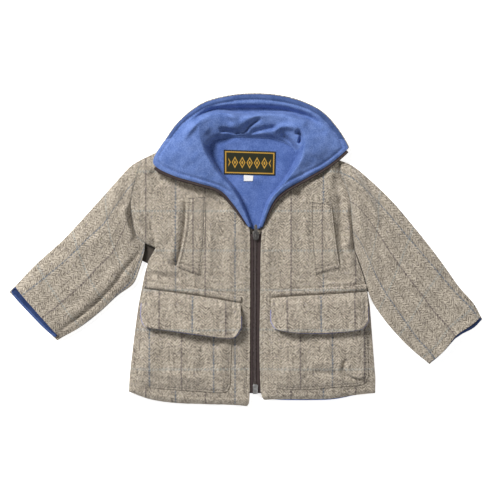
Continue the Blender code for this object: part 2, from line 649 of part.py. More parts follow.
def add_collar():
    """Inner fleece of the collar, turned out with the fronts' tops, and the outer tweed under it."""
    sheet = collar_grid(COLLAR_COUNT, COLLAR_PROFILE)
    grid = sheet[..., :2]
    profile = np.array(COLLAR_PROFILE)[:, None]
    calm = np.clip(profile * 4, 0, 1) * np.clip((2 - profile) * 3, 0, 1)
    top = sheet[..., 2] + calm * folds(grid, COLLAR_FOLDS)
    rim = 1 - ease(profile, 0.12)
    top = top - 1.2 * rim
    wall("collar_inner", grid, top, top - FLEECE_WALL + 1.0 * rim, FLEECE)
    sheet = collar_grid(COLLAR_COUNT, COLLAR_TWEED_PROFILE)
    grid = sheet[..., :2].copy()
    profile = np.array(COLLAR_TWEED_PROFILE)[:, None]
    rim = 1 - ease(profile, 0.12)
    back = np.exp(-((np.linspace(-1, 1, COLLAR_COUNT) + 0.02) / 0.5) ** 4)[None, :]
    sag = COLLAR_BACK_SAG * back * np.sin(np.clip(profile / 0.5, 0, 1) * math.pi / 2)
    top = np.maximum(sheet[..., 2] - sag - FLEECE_WALL - SEAM_GAP - 0.2 * rim, COLLAR_TWEED_WALL + SEAM_GAP)
    peek = np.clip(1 - np.abs(np.linspace(-1, 1, COLLAR_COUNT)) / 0.48, 0, 1)
    outward = sheet[0, :, :2] - sheet[-1, :, :2]
    outward = outward / np.linalg.norm(outward, axis=1)[:, None]
    grid[0] = grid[0] + outward * np.where(peek > 0, 1.6, -0.4)[:, None]
    seam = collar_seam(sheet[-1], top[-1])
    grid = np.concatenate([grid, seam[None, :, :2]])
    top = np.concatenate([top, seam[None, :, 2]])
    wall("collar_outer", grid, top, top - COLLAR_TWEED_WALL, TWEED)


def collar_seam(crest, crest_top):
    """Last row of the outer collar: along the back panel's neck edge, and just past the crest at the sides."""
    foot = spline_rows(np.array(COLLAR_SECTIONS, float)[:, 6:9], COLLAR_COUNT)
    inward = foot[:, :2] - crest[:, :2]
    inward = inward / np.linalg.norm(inward, axis=1)[:, None]
    at_side = np.column_stack([crest[:, :2] + 1.5 * inward, crest_top - 2.0])
    neck = smooth(BACK_NECK, 30)
    x = np.clip(foot[:, 0], neck[1, 0], neck[-2, 0])
    y = np.interp(x, neck[:, 0], neck[:, 1]) + 2 * SEAM_GAP
    at_back = np.column_stack([x, y, np.full(len(x), BODY_WALL + SEAM_GAP)])
    share = np.clip((crest[:, 1] - 182.0) / 12.0, 0, 1)[:, None]
    return (1 - share) * at_side + share * at_back


def add_back_lining():
    """Fleece inside the neck, on the back panel, its edges under the collar and the fronts."""
    low = smooth([(10, 36), (17, 34), (26, 36)], 20)
    high = smooth([(-60, 178), (20, 183), (90, 176)], 20)
    first = smooth([(10, 36), (-16, 78), (-44, 116), (-62, 150), (-60, 178)], 40)
    last = smooth([(26, 36), (44, 72), (72, 108), (92, 146), (90, 176)], 40)
    grid = patch(low, high, first, last, np.linspace(0, 1, 8), np.linspace(0, 1, 12))
    bottom = np.full(grid.shape[:2], BODY_WALL + SEAM_GAP + 0.2)
    wall("back_lining", grid, bottom + LINING_WALL, bottom, FLEECE)
    top = BODY_WALL + SEAM_GAP + 0.2 + LINING_WALL
    block("label", [(-33, 122), (49, 120), (50, 158), (-33, 161)], top + SEAM_GAP, top + SEAM_GAP + LABEL_WALL, LABEL)
    block("size_tab", [(-1, 111), (13, 111), (14, 119.4), (-1, 120.5)], top + SEAM_GAP,
          top + SEAM_GAP + LABEL_WALL, TAB)


def zip_edges(y):
    """Front edges beside the zip at a height along it."""
    right = np.interp(y, RIGHT.inner[:50, 1], RIGHT.inner[:50, 0])
    left = np.interp(y, LEFT.inner[:50, 1], LEFT.inner[:50, 0])
    return right, left


ZIP_BOTTOM = -228.0
ZIP_TOP = 26.0


def add_zip():
    """Tapes, closed chain, slider, pull tab and bottom box, and the open tapes on the turned-out edges."""
    levels = np.linspace(ZIP_BOTTOM, ZIP_TOP, 12)
    edges = np.array([zip_edges(y) for y in levels])
    middle = edges.mean(axis=1)
    half = ZIP_CHAIN_WIDTH / 2
    for name, outer, sign in (("right", edges[:, 0], -1.0), ("left", edges[:, 1], 1.0)):
        a = np.stack([outer - sign * SEAM_GAP, levels], axis=1)
        b = np.stack([middle + sign * (half + SEAM_GAP), levels], axis=1)
        grid = np.stack([a, b], axis=1)
        top = np.full(grid.shape[:2], ZIP_TAPE_TOP)
        wall("zip_tape_" + name, grid, top, top - ZIP_TAPE_WALL, TAPE)
    share = np.linspace(-1, 1, 5)
    rows = levels[(levels > -210) & (levels < 15)]
    rows = np.concatenate([[-213.0], rows, [21.0]])
    mid = np.interp(rows, levels, middle)
    grid = np.stack([np.stack([mid + half * s, rows], axis=1) for s in share], axis=1)
    crown = ZIP_TAPE_TOP + ZIP_CHAIN_RISE * np.sqrt(np.clip(1 - share ** 2, 0, 1)) + 0.2
    top = np.broadcast_to(crown[None, :], grid.shape[:2])
    wall("zip_chain", grid, top, np.full(grid.shape[:2], ZIP_TAPE_TOP - ZIP_TAPE_WALL), NYLON)
    x = float(np.interp(20.0, levels, middle))
    add_slider(x)
    x = float(np.interp(-222.0, levels, middle))
    outline = [(x - 4, -229), (x + 4, -229), (x + 4, -215), (x + 2.6, -213.6), (x - 2.6, -213.6), (x - 4, -215)]
    block("zip_box", outline, ZIP_TAPE_TOP + SEAM_GAP, ZIP_TAPE_TOP + 2.6, METAL)
    sheet = collar_grid(COLLAR_COUNT, [0.0, 1.0])
    rim_top = sheet[0, :, 2] - 1.2
    turn = round(5.2 * (COLLAR_COUNT - 1) / (len(COLLAR_SECTIONS) - 1))
    other = round(5.4 * (COLLAR_COUNT - 1) / (len(COLLAR_SECTIONS) - 1))
    for name, picks in (("right", range(turn)), ("left", range(COLLAR_COUNT - 1, COLLAR_COUNT - 1 - other, -1))):
        picks = list(picks)
        edge = sheet[0, picks, :2]
        away = edge - sheet[1, picks, :2]
        tangent = np.gradient(edge, axis=0)
        normal = np.stack([-tangent[:, 1], tangent[:, 0]], axis=1)
        normal /= np.linalg.norm(normal, axis=1)[:, None]
        normal *= np.sign((normal * away).sum(axis=1))[:, None]
        reach = np.array([SEAM_GAP + 0.1, 1.6, 2.6, ZIP_OPEN_WIDTH])
        grid = edge[:, None, :] + normal[:, None, :] * reach[None, :, None]
        low = rim_top[picks][:, None] - 2.0 + np.zeros(len(reach))[None, :]
        top = low + np.array([0.9, 0.9, 2.0, 1.6])[None, :]
        wall("zip_open_" + name, grid, top, low, TAPE)


SLIDER_BASE = ZIP_TAPE_TOP + ZIP_CHAIN_RISE + 0.6
SLIDER_HIGH = 2.4
BRIDGE_HIGH = 3.6
PULL_LENGTH = 17.0
PULL_WIDTH = 5.0
PULL_WALL = 1.0
PULL_BAR = 1.4


def add_slider(x):
    """Slider on the chain with its bridge, and the pull tab looped under the bridge."""
    y0, y1 = 17.0, 31.0
    base, high = SLIDER_BASE, SLIDER_BASE + SLIDER_HIGH
    plan = [(x - 3.2, y0), (x + 3.2, y0), (x + 5.0, y0 + 5), (x + 5.0, y1 - 2), (x + 3.4, y1), (x - 3.4, y1),
            (x - 5.0, y1 - 2), (x - 5.0, y0 + 5)]
    n = len(plan)
    verts = [(px, py, base) for px, py in plan] + [(px, py, high) for px, py in plan]
    faces = [tuple(range(n - 1, -1, -1)), tuple(range(n, 2 * n))]
    faces += [(k, (k + 1) % n, n + (k + 1) % n, n + k) for k in range(n)]
    slider = add("zip_slider", verts, faces, METAL)
    bridge = bmesh.new()
    profile = [(y0 + 3.0, 0.0), (y0 + 3.0, BRIDGE_HIGH), (y1 - 4.0, BRIDGE_HIGH), (y1 - 4.0, 0.0),
               (y1 - 5.4, 0.0), (y1 - 5.4, BRIDGE_HIGH - 1.2), (y0 + 4.4, BRIDGE_HIGH - 1.2), (y0 + 4.4, 0.0)]
    sides = []
    for px in (x - 1.3, x + 1.3):
        sides.append([bridge.verts.new((MM * px, MM * py, MM * (high - 0.4 + pz))) for py, pz in profile])
    m = len(profile)
    for k in range(m):
        bridge.faces.new((sides[0][k], sides[0][(k + 1) % m], sides[1][(k + 1) % m], sides[1][k]))
    for side in sides:
        for quad in ((0, 1, 6, 7), (1, 2, 5, 6), (2, 3, 4, 5)):
            bridge.faces.new([side[k] for k in quad])
    bmesh.ops.recalc_face_normals(bridge, faces=bridge.faces)
    mesh = bpy.data.meshes.new("bridge")
    bridge.to_mesh(mesh)
    bridge.free()
    tool = bpy.data.objects.new("bridge", mesh)
    bpy.context.scene.collection.objects.link(tool)
    tool.parent = ROOT
    join = slider.modifiers.new("bridge", "BOOLEAN")
    join.operation = "UNION"
    join.solver = "EXACT"
    join.object = tool
    bpy.context.view_layer.update()
    whole = bpy.data.meshes.new_from_object(slider.evaluated_get(bpy.context.evaluated_depsgraph_get()))
    slider.modifiers.clear()
    slider.data = whole
    bpy.data.objects.remove(tool)
    add_pull(x, y1 - 6.6, high + 0.45)


def add_pull(x, y, z):
    """Pull tab: a flat tab with an eye whose cross bar sits under the slider's bridge."""
    half = PULL_WIDTH / 2
    eye = 1.7
    near, far = y - PULL_BAR / 2, y + PULL_LENGTH
    hole_start, hole_end = y + PULL_BAR / 2, y + 4.8
    loops = {
        "outer": [(x - half, near), (x + half, near), (x + half, far - 2), (x + half - 1.2, far),
                  (x - half + 1.2, far), (x - half, far - 2)],
        "inner": [(x - eye, hole_start), (x + eye, hole_start), (x + eye, hole_end), (x - eye, hole_end)],
    }
    verts = []
    for level in (z, z + PULL_WALL):
        verts += [(px, py, level) for px, py in loops["outer"]]
        verts += [(px, py, level) for px, py in loops["inner"]]
    n = 10
    rings = [(0, 1, 7, 6), (1, 2, 8, 7), (2, 3, 4, 5, 9, 8), (5, 0, 6, 9)]
    faces = [tuple(reversed(r)) for r in rings] + [tuple(n + k for k in r) for r in rings]
    faces += [(k, (k + 1) % 6, n + (k + 1) % 6, n + k) for k in range(6)]
    faces += [(6 + (k + 1) % 4, 6 + k, n + 6 + k, n + 6 + (k + 1) % 4) for k in range(4)]
    add("zip_pull", verts, faces, METAL)


def add_hem_lining():
    """Narrow fleece edge that shows under the left front's hem."""
    hem = LEFT.hem[4:52:4]
    inner = moved(hem, -0.5)
    outer = moved(hem, -2.0)
    grid = np.stack([outer, inner], axis=1)
    top = front_top(LEFT, hem)[:, None] + np.zeros((1, 2)) - 1.0
    wall("hem_lining_left", grid, top, top - 1.8, FLEECE)


def clear():
    """Empty scene."""
    for item in list(bpy.data.objects):
        bpy.data.objects.remove(item)


def centre_on_floor():
    """Moves the whole so that its box stands centred on the origin."""
    bpy.context.view_layer.update()
    points = np.vstack([np.array([v.co for v in o.data.vertices]) for o in bpy.data.objects if o.type == "MESH"])
    low, high = points.min(axis=0), points.max(axis=0)
    shift = np.array([-(low[0] + high[0]) / 2, -(low[1] + high[1]) / 2, -low[2]])
    for item in bpy.data.objects:
        if item.type == "MESH":
            for vert in item.data.vertices:
                vert.co = [vert.co[k] + shift[k] for k in range(3)]
    print("shift in mm", [round(1000 * float(s), 3) for s in shift])
    print("size in mm", [round(1000 * float(s), 1) for s in high - low])


def main():
    """Whole jacket."""
    global ROOT
    clear()
    ROOT = bpy.data.objects.new("jacket", None)
    bpy.context.scene.collection.objects.link(ROOT)
    add_back()
    for name, side in (("right", RIGHT), ("left", LEFT)):
        add_front("front_" + name, side)
        add_sleeve(name, side)
        add_cuff_lining(name, side)
        add_pocket(name, side)
        add_flap(name, side)
        add_welt(name, side)
    add_back_lining()
    add_collar()
    add_zip()
    add_hem_lining()
    centre_on_floor()


main()
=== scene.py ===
"""Looks of a child's fleece-lined tweed jacket, laid flat and seen from straight above.

The cloth is rebuilt as fine walls on the forms of the solids, with creases, seams and sewing added.
Outlines are in millimetres in the pattern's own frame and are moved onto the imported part.
"""
import json
import math

import bmesh
import bpy
import numpy as np
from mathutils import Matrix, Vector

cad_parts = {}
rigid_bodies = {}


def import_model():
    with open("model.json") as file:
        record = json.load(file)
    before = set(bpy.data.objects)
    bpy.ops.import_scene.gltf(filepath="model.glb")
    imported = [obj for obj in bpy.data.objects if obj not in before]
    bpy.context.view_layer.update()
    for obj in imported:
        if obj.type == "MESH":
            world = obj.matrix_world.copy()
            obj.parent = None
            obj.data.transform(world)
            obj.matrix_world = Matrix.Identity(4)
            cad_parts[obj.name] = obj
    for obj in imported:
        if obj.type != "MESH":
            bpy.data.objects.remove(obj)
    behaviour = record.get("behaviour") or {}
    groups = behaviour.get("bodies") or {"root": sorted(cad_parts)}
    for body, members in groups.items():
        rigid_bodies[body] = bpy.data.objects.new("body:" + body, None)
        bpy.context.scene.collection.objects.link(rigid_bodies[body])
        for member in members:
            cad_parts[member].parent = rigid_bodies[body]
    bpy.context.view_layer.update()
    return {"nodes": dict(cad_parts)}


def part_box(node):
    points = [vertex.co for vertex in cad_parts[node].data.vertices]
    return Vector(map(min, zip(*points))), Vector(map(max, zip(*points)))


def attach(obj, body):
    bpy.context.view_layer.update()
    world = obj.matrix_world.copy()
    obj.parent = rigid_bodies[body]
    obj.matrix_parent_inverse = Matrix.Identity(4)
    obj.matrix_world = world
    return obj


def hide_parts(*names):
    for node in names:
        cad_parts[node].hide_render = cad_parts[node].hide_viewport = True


for item in list(bpy.data.objects):
    bpy.data.objects.remove(item)
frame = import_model()
BODY = "jacket"
MM = 0.001

# Place of the pattern's frame in the part's frame, from the neck label's low corner
LABEL_LOW = (-33.0, 120.0)
LABEL_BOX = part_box("label")[0]
SHIFT = np.array([LABEL_BOX[0] * 1000 - LABEL_LOW[0], LABEL_BOX[1] * 1000 - LABEL_LOW[1], 0.0])

# Photograph frame
PHOTO_SPAN = 0.800
LENS = 70.0
SENSOR = 36.0
PHOTO_CENTRE = (8.8, 0.8)
MEAN_HEIGHT = 0.006

# Sizes of the cloth, its layers and the zip
SEAM_GAP = 0.3
LAY_GAP = 0.5
BODY_WALL = 4.0
BODY_EDGE_WALL = 2.2
BACK_EDGE_LIFT = 2.3
BACK_EDGE_TOP = 4.5
EDGE_TAPER = 11.0
FRONT_TOP = 11.4
FRONT_SIDE_DROP = 4.4
FRONT_SIDE_ROUND = 24.0
FRONT_HEM_DROP = 5.4
FRONT_HEM_ROUND = 11.0
FRONT_ZIP_DROP = 1.5
FRONT_ZIP_ROUND = 12.0
SLEEVE_TOP = 11.8
SLEEVE_EDGE_DROP = 4.8
SLEEVE_EDGE_ROUND = 26.0
ARMHOLE_DROP = 6.2
LEAST_WALL = 1.0
SLEEVE_CROWN = 2.4
CUFF_RISE = 2.6
CUFF_RISE_LENGTH = 45.0
FLEECE_WALL = 3.0
COLLAR_TWEED_WALL = 2.0
LINING_WALL = 2.2
CUFF_LINING_WALL = 1.3
CUFF_LINING_DEPTH = 30.0
CUFF_LINING_OUT = -0.4
PATCH_WALL = 2.0
FLAP_WALL = 2.2
FLAP_LINING_WALL = 1.0
FLAP_CLIMB = 15.0
FLAP_LIFT = 3.6
BAND_HEIGHT = 11.5
ZIP_TAPE_WALL = 1.0
ZIP_TAPE_TOP = 8.4
ZIP_CHAIN_WIDTH = 5.6
ZIP_OPEN_WIDTH = 3.6
ZIP_BOTTOM = -228.0
ZIP_TOP = 26.0
LABEL_WALL = 0.6
LINING_BASE = BODY_WALL + SEAM_GAP + 0.2
COLLAR_BACK_SAG = 11.5
FOOT_WALL = 0.9

# Fineness of the grids, and sizes of edges, sewing and teeth
CURVE_STEPS = 16
CREASE_FADE = 0.2
GOLDEN_ANGLE = 2.399963
FRONT_STEP = 2.1
SLEEVE_STEP = 2.2
POCKET_STEP = 1.6
ZIP_POINTS = 50
COLLAR_COUNT = 300
PANEL_BULGE = 0.12
PATCH_BULGE = 0.3
HEM_ROLL = -214.0
CUFF_SEWING = 12.5
CUFF_SHADE_DEPTH = 0.0048
POCKET_FULL = 26.0
FLAP_PEEK = 1.6
BAND_START = 1.8
COLLAR_STRIP = 8.5
BACK_RIM = 176.0
RIM_ROUND = 0.12
RIM_DROP = 1.2
TOOTH_PITCH = 1.75
TOOTH_LENGTH = 0.66 * TOOTH_PITCH
CHAIN_ENDS = (-213.0, 21.0)
# Dip at a line of sewing: depth, half width
SEWN_DIP = (0.9, 2.2)
# Corners of a stitch: both ends, both sides, top and bottom
STITCH_FACES = np.array([
    (0, 3, 4), (3, 1, 4), (1, 2, 4), (2, 0, 4), (3, 0, 5), (1, 3, 5), (2, 1, 5), (0, 2, 5),
])

# Weave of the tweed, in metres: rib, twill line, overcheck column and row
HERRINGBONE = 0.0096
TWILL = 0.0043
CHECK = 0.048
CHECK_ROW = 0.063

# Lights. Columns: name, place in metres, power, size
LIGHTS = [("key", (-2.3, 2.55, 2.75), 272.0, 1.2), ("fill", (2.0, -1.4, 2.8), 32.0, 2.0)]
WORLD_LIGHT = 0.15

# Outlines of each side's panels, each from one named corner to the next
OUTLINES = {
    "right": {
        "hem": [(-185, -226), (-151, -238), (-111, -244), (-63, -246), (-23, -247), (4, -249)],
        "zip": [(4, -249), (8, -233), (9, -127), (9, 17), (7, 36)],
        "roll": [(7, 36), (-11, 68), (-38, 104), (-57, 132), (-68, 164), (-63, 183)],
        "side": [
            (-185, -226), (-184, -204), (-178, -151), (-170, -90), (-162, -50), (-156, -22), (-142, 4),
        ],
        "armhole": [(-142, 4), (-153, 8), (-169, 18), (-178, 36), (-182, 65), (-178, 97), (-164, 146)],
        "shoulder": [(-164, 146), (-119, 166), (-63, 183)],
        "sleeve_upper": [
            (-164, 146), (-183, 134), (-207, 108), (-241, 70), (-289, 18), (-330, -19), (-367, -57),
        ],
        "sleeve_lower": [
            (-162, 13), (-162, 1), (-165, -13), (-170, -30), (-179, -53), (-202, -71), (-230, -97),
            (-262, -122), (-294, -140),
        ],
        "cuff": [(-367, -57), (-342.5, -84.5), (-318.5, -111.5), (-294, -140)],
        "under_cuff": [(-377, -66), (-351, -93), (-326, -119), (-300, -144)],
    },
    "left": {
        "hem": [(31, -239), (57, -238), (97, -238), (137, -237), (172, -232), (209, -228)],
        "zip": [(31, -239), (26, -223), (24, -151), (25, -79), (26, 1), (28, 30)],
        "roll": [(28, 30), (42, 71), (66, 100), (86, 132), (96, 161), (89, 183)],
        "side": [
            (209, -228), (210, -215), (207, -175), (204, -135), (201, -97), (199, -78), (191, -44),
            (175, 2),
        ],
        "armhole": [(175, 2), (172, 33), (170, 73), (164, 98), (154, 122), (150, 145)],
        "shoulder": [(150, 145), (118, 166), (89, 183)],
        "sleeve_upper": [
            (150, 145), (175, 134), (206, 108), (233, 82), (255, 57), (287, 18), (316, -20), (343, -58),
            (366, -84), (378, -106),
        ],
        "sleeve_lower": [
            (176.5, 1), (184, -18), (192.5, -44), (198.5, -66), (204, -80), (214, -97), (233, -122),
            (257, -148), (278, -167), (295, -180),
        ],
        "cuff": [(378, -106), (361, -119), (337, -135), (318, -159), (295, -180)],
        "under_cuff": [(381, -110), (366, -124), (340, -138), (319, -161), (296, -182)],
    },
}
BACK_HEM = [(-183, -216), (-71, -220), (17, -220), (105, -220), (208, -216)]
BACK_NECK = [(-63, 183), (20, 186), (89, 183)]

# Edges of the sewn-on pieces
WELTS = {
    "right": {
        "top": [(-90, 84), (-62, 87)], "bottom": [(-106, -28), (-71, -41)],
        "mouth": [(-106, -28), (-97, 10), (-92, 40), (-90, 84)],
        "inner": [(-71, -41), (-64, 20), (-62, 87)],
    },
    "left": {
        "top": [(106, 78), (138, 74)], "bottom": [(113, -39), (152, -29)],
        "mouth": [(152, -29), (145, 15), (138, 74)], "inner": [(113, -39), (107, 20), (106, 78)],
    },
}
FLAPS = {
    "right": {
        "seam": [(-160, -62), (-119, -67), (-63, -75), (-7, -85)],
        "low": [(-164, -104), (-157, -119), (-135, -124), (-87, -130), (-39, -137), (-17, -137), (-6, -122)],
        "side": [(-160, -62), (-163, -84), (-164, -104)], "inner": [(-7, -85), (-6, -104), (-6, -122)],
    },
    "left": {
        "seam": [(43, -76), (89, -73), (145, -70), (195, -66)],
        "low": [(43, -112), (50, -123), (65, -127), (97, -130), (145, -129), (184, -124), (196, -112)],
        "side": [(195, -66), (196, -90), (196, -112)], "inner": [(43, -76), (43, -94), (43, -112)],
    },
}
POCKETS = {
    "right": {
        "top": [(-162, -82), (-90, -89), (-20, -102)],
        "low": [(-174, -196), (-168, -212), (-150, -218), (-90, -223), (-36, -226), (-25, -219), (-23, -206)],
        "side": [(-162, -82), (-169, -140), (-174, -196)], "inner": [(-20, -102), (-21, -150), (-23, -206)],
    },
    "left": {
        "top": [(43, -93), (110, -89), (193, -84)],
        "low": [(42, -203), (46, -216), (58, -220), (100, -221), (150, -217), (188, -213), (197, -200)],
        "side": [(193, -84), (196, -140), (197, -200)], "inner": [(43, -93), (42, -150), (42, -203)],
    },
}

# Edges of the fleece inside the neck: low, high, first and last
NECK_EDGES = [
    [(10, 36), (17, 34), (26, 36)], [(-60, 178), (20, 183), (90, 176)],
    [(10, 36), (-16, 78), (-44, 116), (-62, 150), (-60, 178)],
    [(26, 36), (44, 72), (72, 108), (92, 146), (90, 176)],
]
LABEL_CORNERS = [(-33, 122), (49, 120), (-33, 161), (50, 158)]
LABEL_SEWING = [(-31.5, 123.5), (47.5, 121.5), (48.5, 156.5), (-31.5, 159.5), (-31.5, 123.5)]
TAB_CORNERS = [(-1, 111), (13, 111), (-1, 120.5), (14, 119.4)]

# Dark sheets on the floor under the armholes, painted shade of the gap between sleeve and body. Columns:
# path, points along it, half width
ARMPIT_SHADE_SHEETS = {
    "right": ([(-160, 15), (-150, 6), (-153, -7), (-159, -19)], 40, 9.5),
    "left": ([(172, 40), (175.6, 2), (183, -18), (191.6, -44), (198, -66)], 60, 4.0),
}

# Collar sections round the neck
# Columns: x, y and top height, of the outer edge, the roll's crest and the foot inside the neck
COLLAR_SECTIONS = [
    (7, 38, 14.0, 9, 39, 14.4, 11, 39, 12.0),
    (-14, 70, 19.0, -7, 74, 22.0, -2, 76, 10.6),
    (-38, 96, 22.5, -22, 99, 26.5, -16, 101, 10.2),
    (-74, 108, 23.5, -44, 123, 29.5, -37, 126, 10.2),
    (-111, 119, 21.5, -58, 145, 31.5, -50, 148, 10.2),
    (-139, 133, 19.0, -67, 166, 32.0, -56, 161, 10.2),
    (-143, 147, 18.0, -70, 177, 32.0, -55, 169, 10.2),
    (-124, 177, 15.5, -71, 194, 31.0, -46, 177, 10.2),
    (-102, 206, 15.0, -60, 206, 28.0, -30, 180, 10.2),
    (-66, 233, 15.5, -38, 211, 25.0, -16, 182, 10.2),
    (-23, 245, 15.5, -8, 209, 22.0, 1, 182, 10.2),
    (17, 248, 15.5, 20, 208, 21.0, 20, 181, 10.2),
    (57, 245, 15.5, 46, 208, 22.0, 40, 180, 10.2),
    (94, 235, 15.5, 67, 209, 24.0, 54, 176, 10.2),
    (124, 219, 15.0, 82, 204, 27.0, 68, 171, 10.2),
    (146, 195, 14.5, 92, 190, 29.5, 77, 165, 10.2),
    (163, 167, 15.0, 96, 174, 31.0, 81, 158, 10.2),
    (159, 158, 16.5, 95, 160, 31.0, 82, 150, 10.2),
    (132, 136, 18.5, 91, 144, 29.0, 78, 139, 10.2),
    (98, 116, 19.5, 81, 128, 26.0, 70, 124, 10.2),
    (63, 96, 20.0, 58, 99, 22.5, 52, 100, 10.2),
    (44, 76, 19.0, 41, 78, 20.5, 37, 80, 10.6),
    (28, 38, 14.0, 26, 39, 14.4, 24, 39, 12.0),
]

# Folds. Columns: start x, y; end x, y; half width; height, below zero for a trough
FRONT_FOLDS = [
    (-120, 90, -112, -20, 14, 1.0), (-50, 60, -46, -60, 16, 0.9), (-20, 0, -16, -70, 12, -0.8),
    (-150, -34, -108, -40, 8, -0.9), (76, 70, 84, -40, 16, 1.1), (52, 40, 48, -50, 12, -0.8),
    (162, -10, 178, -48, 12, 1.2),
]
POCKET_FOLDS = [
    (-104, -150, -96, -205, 12, 1.6), (-62, -150, -58, -205, 12, -0.9), (-146, -150, -144, -200, 14, 1.2),
    (80, -150, 84, -205, 16, 1.4), (158, -180, 162, -198, 5, -1.5), (162, -198, 184, -208, 5, -1.5),
    (112, -186, 156, -192, 9, 1.2),
]
SLEEVE_FOLDS = [
    (-196, 60, -240, 10, 16, 1.4), (-250, 20, -330, -60, 18, 0.9), (214, 34, 296, -90, 16, 1.3),
]

# Creases. Columns: path; half width to its left and to its right; height, below zero for a trough
FRONT_CREASES = [
    ([(-134, 120), (-114, 107), (-92, 96)], 7, 7, -5.4), ([(-98, 100), (-66, 86), (-36, 62)], 7, 8, -6.2),
    ([(-152, 52), (-147, 36), (-136, 18)], 5, 5, -2.4), ([(-60, 86), (-44, 76), (-31, 62)], 6, 6, -4.0),
    ([(-168, 66), (-167, 46), (-161, 30), (-144, 14)], 5, 5, 3.6),
    ([(-140, 40), (-128, 10), (-110, -22)], 7, 7, 3.4), ([(-142, 0), (-126, -16), (-110, -30)], 5, 6, -3.4),
    ([(-94.5, 88), (-95, 52), (-100, 14), (-112, -34)], 1.7, 2.0, -4.4),
    ([(-104, 82), (-105, 50), (-110, 14), (-119, -24)], 4, 8, 3.0),
    ([(-132, 84), (-128, 40), (-130, 8)], 12, 12, 2.0), ([(-41, 50), (-40, 0), (-42, -60)], 10, 10, -1.6),
    ([(-22, 20), (-20, -30), (-22, -70)], 7, 7, 1.4), ([(-53, 66), (-55, 0), (-58, -50)], 5, 5, 1.8),
    ([(-148, 128), (-141, 114), (-136, 102)], 5, 6, -4.0),
    ([(-158, -38), (-130, -42), (-100, -46)], 5, 4, -2.6),
    ([(-150, -28), (-130, -32), (-112, -36)], 4, 4, 1.8), ([(66, 110), (80, 97), (94, 80)], 7, 6, -6.2),
    ([(104, 116), (122, 124), (138, 133)], 5, 5, -3.4), ([(96, 96), (110, 104), (128, 112)], 7, 7, 2.0),
    ([(126, 108), (136, 52), (146, -16)], 7, 6, 3.4), ([(162, 78), (166, 40), (169, 0)], 4, 4, 4.4),
    ([(140, 120), (152, 86), (156, 50), (156, 10)], 9, 7, -6.6),
    ([(160, 30), (166, 4), (174, -26)], 6, 6, 3.0), ([(150, 40), (155, 10), (163, -28)], 4, 3, -3.2),
    ([(132, 142), (139, 118), (147, 97), (152, 78)], 7, 9, 3.6),
    ([(98, 74), (100, 20), (104, -30)], 5, 5, 2.0), ([(58, 50), (58, 0), (60, -60)], 10, 10, -1.6),
    ([(40, 20), (38, -30), (38, -70)], 6, 6, 1.2), ([(84, 60), (86, 10), (88, -40)], 7, 7, -1.4),
    ([(120, -48), (150, -46), (180, -42)], 5, 4, -2.0),
]
POCKET_CREASES = [
    ([(-150, -130), (-95, -139), (-32, -147)], 9, 10, -5.4),
    ([(-128, -196), (-95, -202), (-58, -204)], 9, 8, 3.4),
    ([(-150, -150), (-152, -175), (-150, -200)], 9, 9, 2.0),
    ([(-36, -150), (-37, -180), (-40, -205)], 7, 7, 1.6),
    ([(-112, -160), (-104, -178), (-108, -194)], 6, 6, -2.0),
    ([(-70, -156), (-66, -176), (-70, -192)], 6, 6, -2.0),
    ([(46, -132), (84, -139), (122, -141)], 9, 10, -5.6),
    ([(110, -140), (150, -140), (184, -136)], 8, 8, -2.0),
    ([(110, -176), (136, -180), (160, -178)], 7, 6, 2.8),
    ([(104, -192), (134, -196), (160, -192)], 5, 6, -2.8),
    ([(150, -184), (152, -200), (164, -213)], 4, 4, 2.4),
    ([(66, -170), (84, -188), (100, -196)], 10, 10, 2.2),
]
# Pinched cloth at the left pocket's corner
POCKET_PINCH = [
    ([(168, -180), (161.5, -176.5), (157.5, -184), (159.5, -194),
      (168, -202.5), (180, -206.5), (192, -205.5)], 2.0, 2.6, -4.5),
    ([(170, -183), (164.5, -182), (163, -187), (165, -193.5),
      (171.5, -199), (181, -201.5), (192, -200.5)], 5.5, 2.4, 4.6),
]
SLEEVE_CREASES = [
    ([(-154, 10), (-169, -4), (-191, -30), (-210, -56), (-247, -92), (-300, -132)], 4, 2.4, -3.6),
    ([(-180, 0), (-205, -34), (-245, -76), (-290, -112)], 7, 7, 1.6),
    ([(-186, 118), (-191, 92), (-196, 66)], 7, 7, -2.4),
    ([(-191, 74), (-190, 54), (-185, 34), (-176, 16)], 4.5, 5, 4.2),
    ([(-199, 108), (-214, 80), (-230, 50)], 13, 13, 2.4), ([(-240, 24), (-226, 2), (-212, -16)], 9, 9, 1.8),
    ([(-262, -8), (-250, -30), (-236, -50)], 8, 8, -1.8),
    ([(-298, -48), (-284, -66), (-272, -86)], 9, 9, 1.4),
    ([(-300, 0), (-288, -22), (-282, -40)], 9, 9, -1.0),
    ([(170, 134), (186, 104), (204, 70), (214, 40)], 5, 5, 4.6),
    ([(192, 118), (212, 90), (228, 62)], 8, 8, -2.0),
    ([(161, 140), (173, 114), (182, 82), (184, 42), (188, 4), (204, -40)], 16, 6, 4.4),
    ([(217, 33), (234, 6), (250, -20)], 9, 9, 1.8), ([(244, 24), (262, -2), (276, -26)], 8, 8, -1.6),
    ([(262, -44), (280, -68), (296, -90)], 9, 9, 1.6), ([(296, -36), (312, -58), (326, -78)], 8, 8, -1.4),
    ([(208, -62), (222, -88), (243, -112)], 5, 5, -2.2), ([(204, -20), (218, -50), (240, -84)], 7, 7, 1.6),
    ([(300, -110), (316, -128), (326, -140)], 7, 7, 1.2),
]
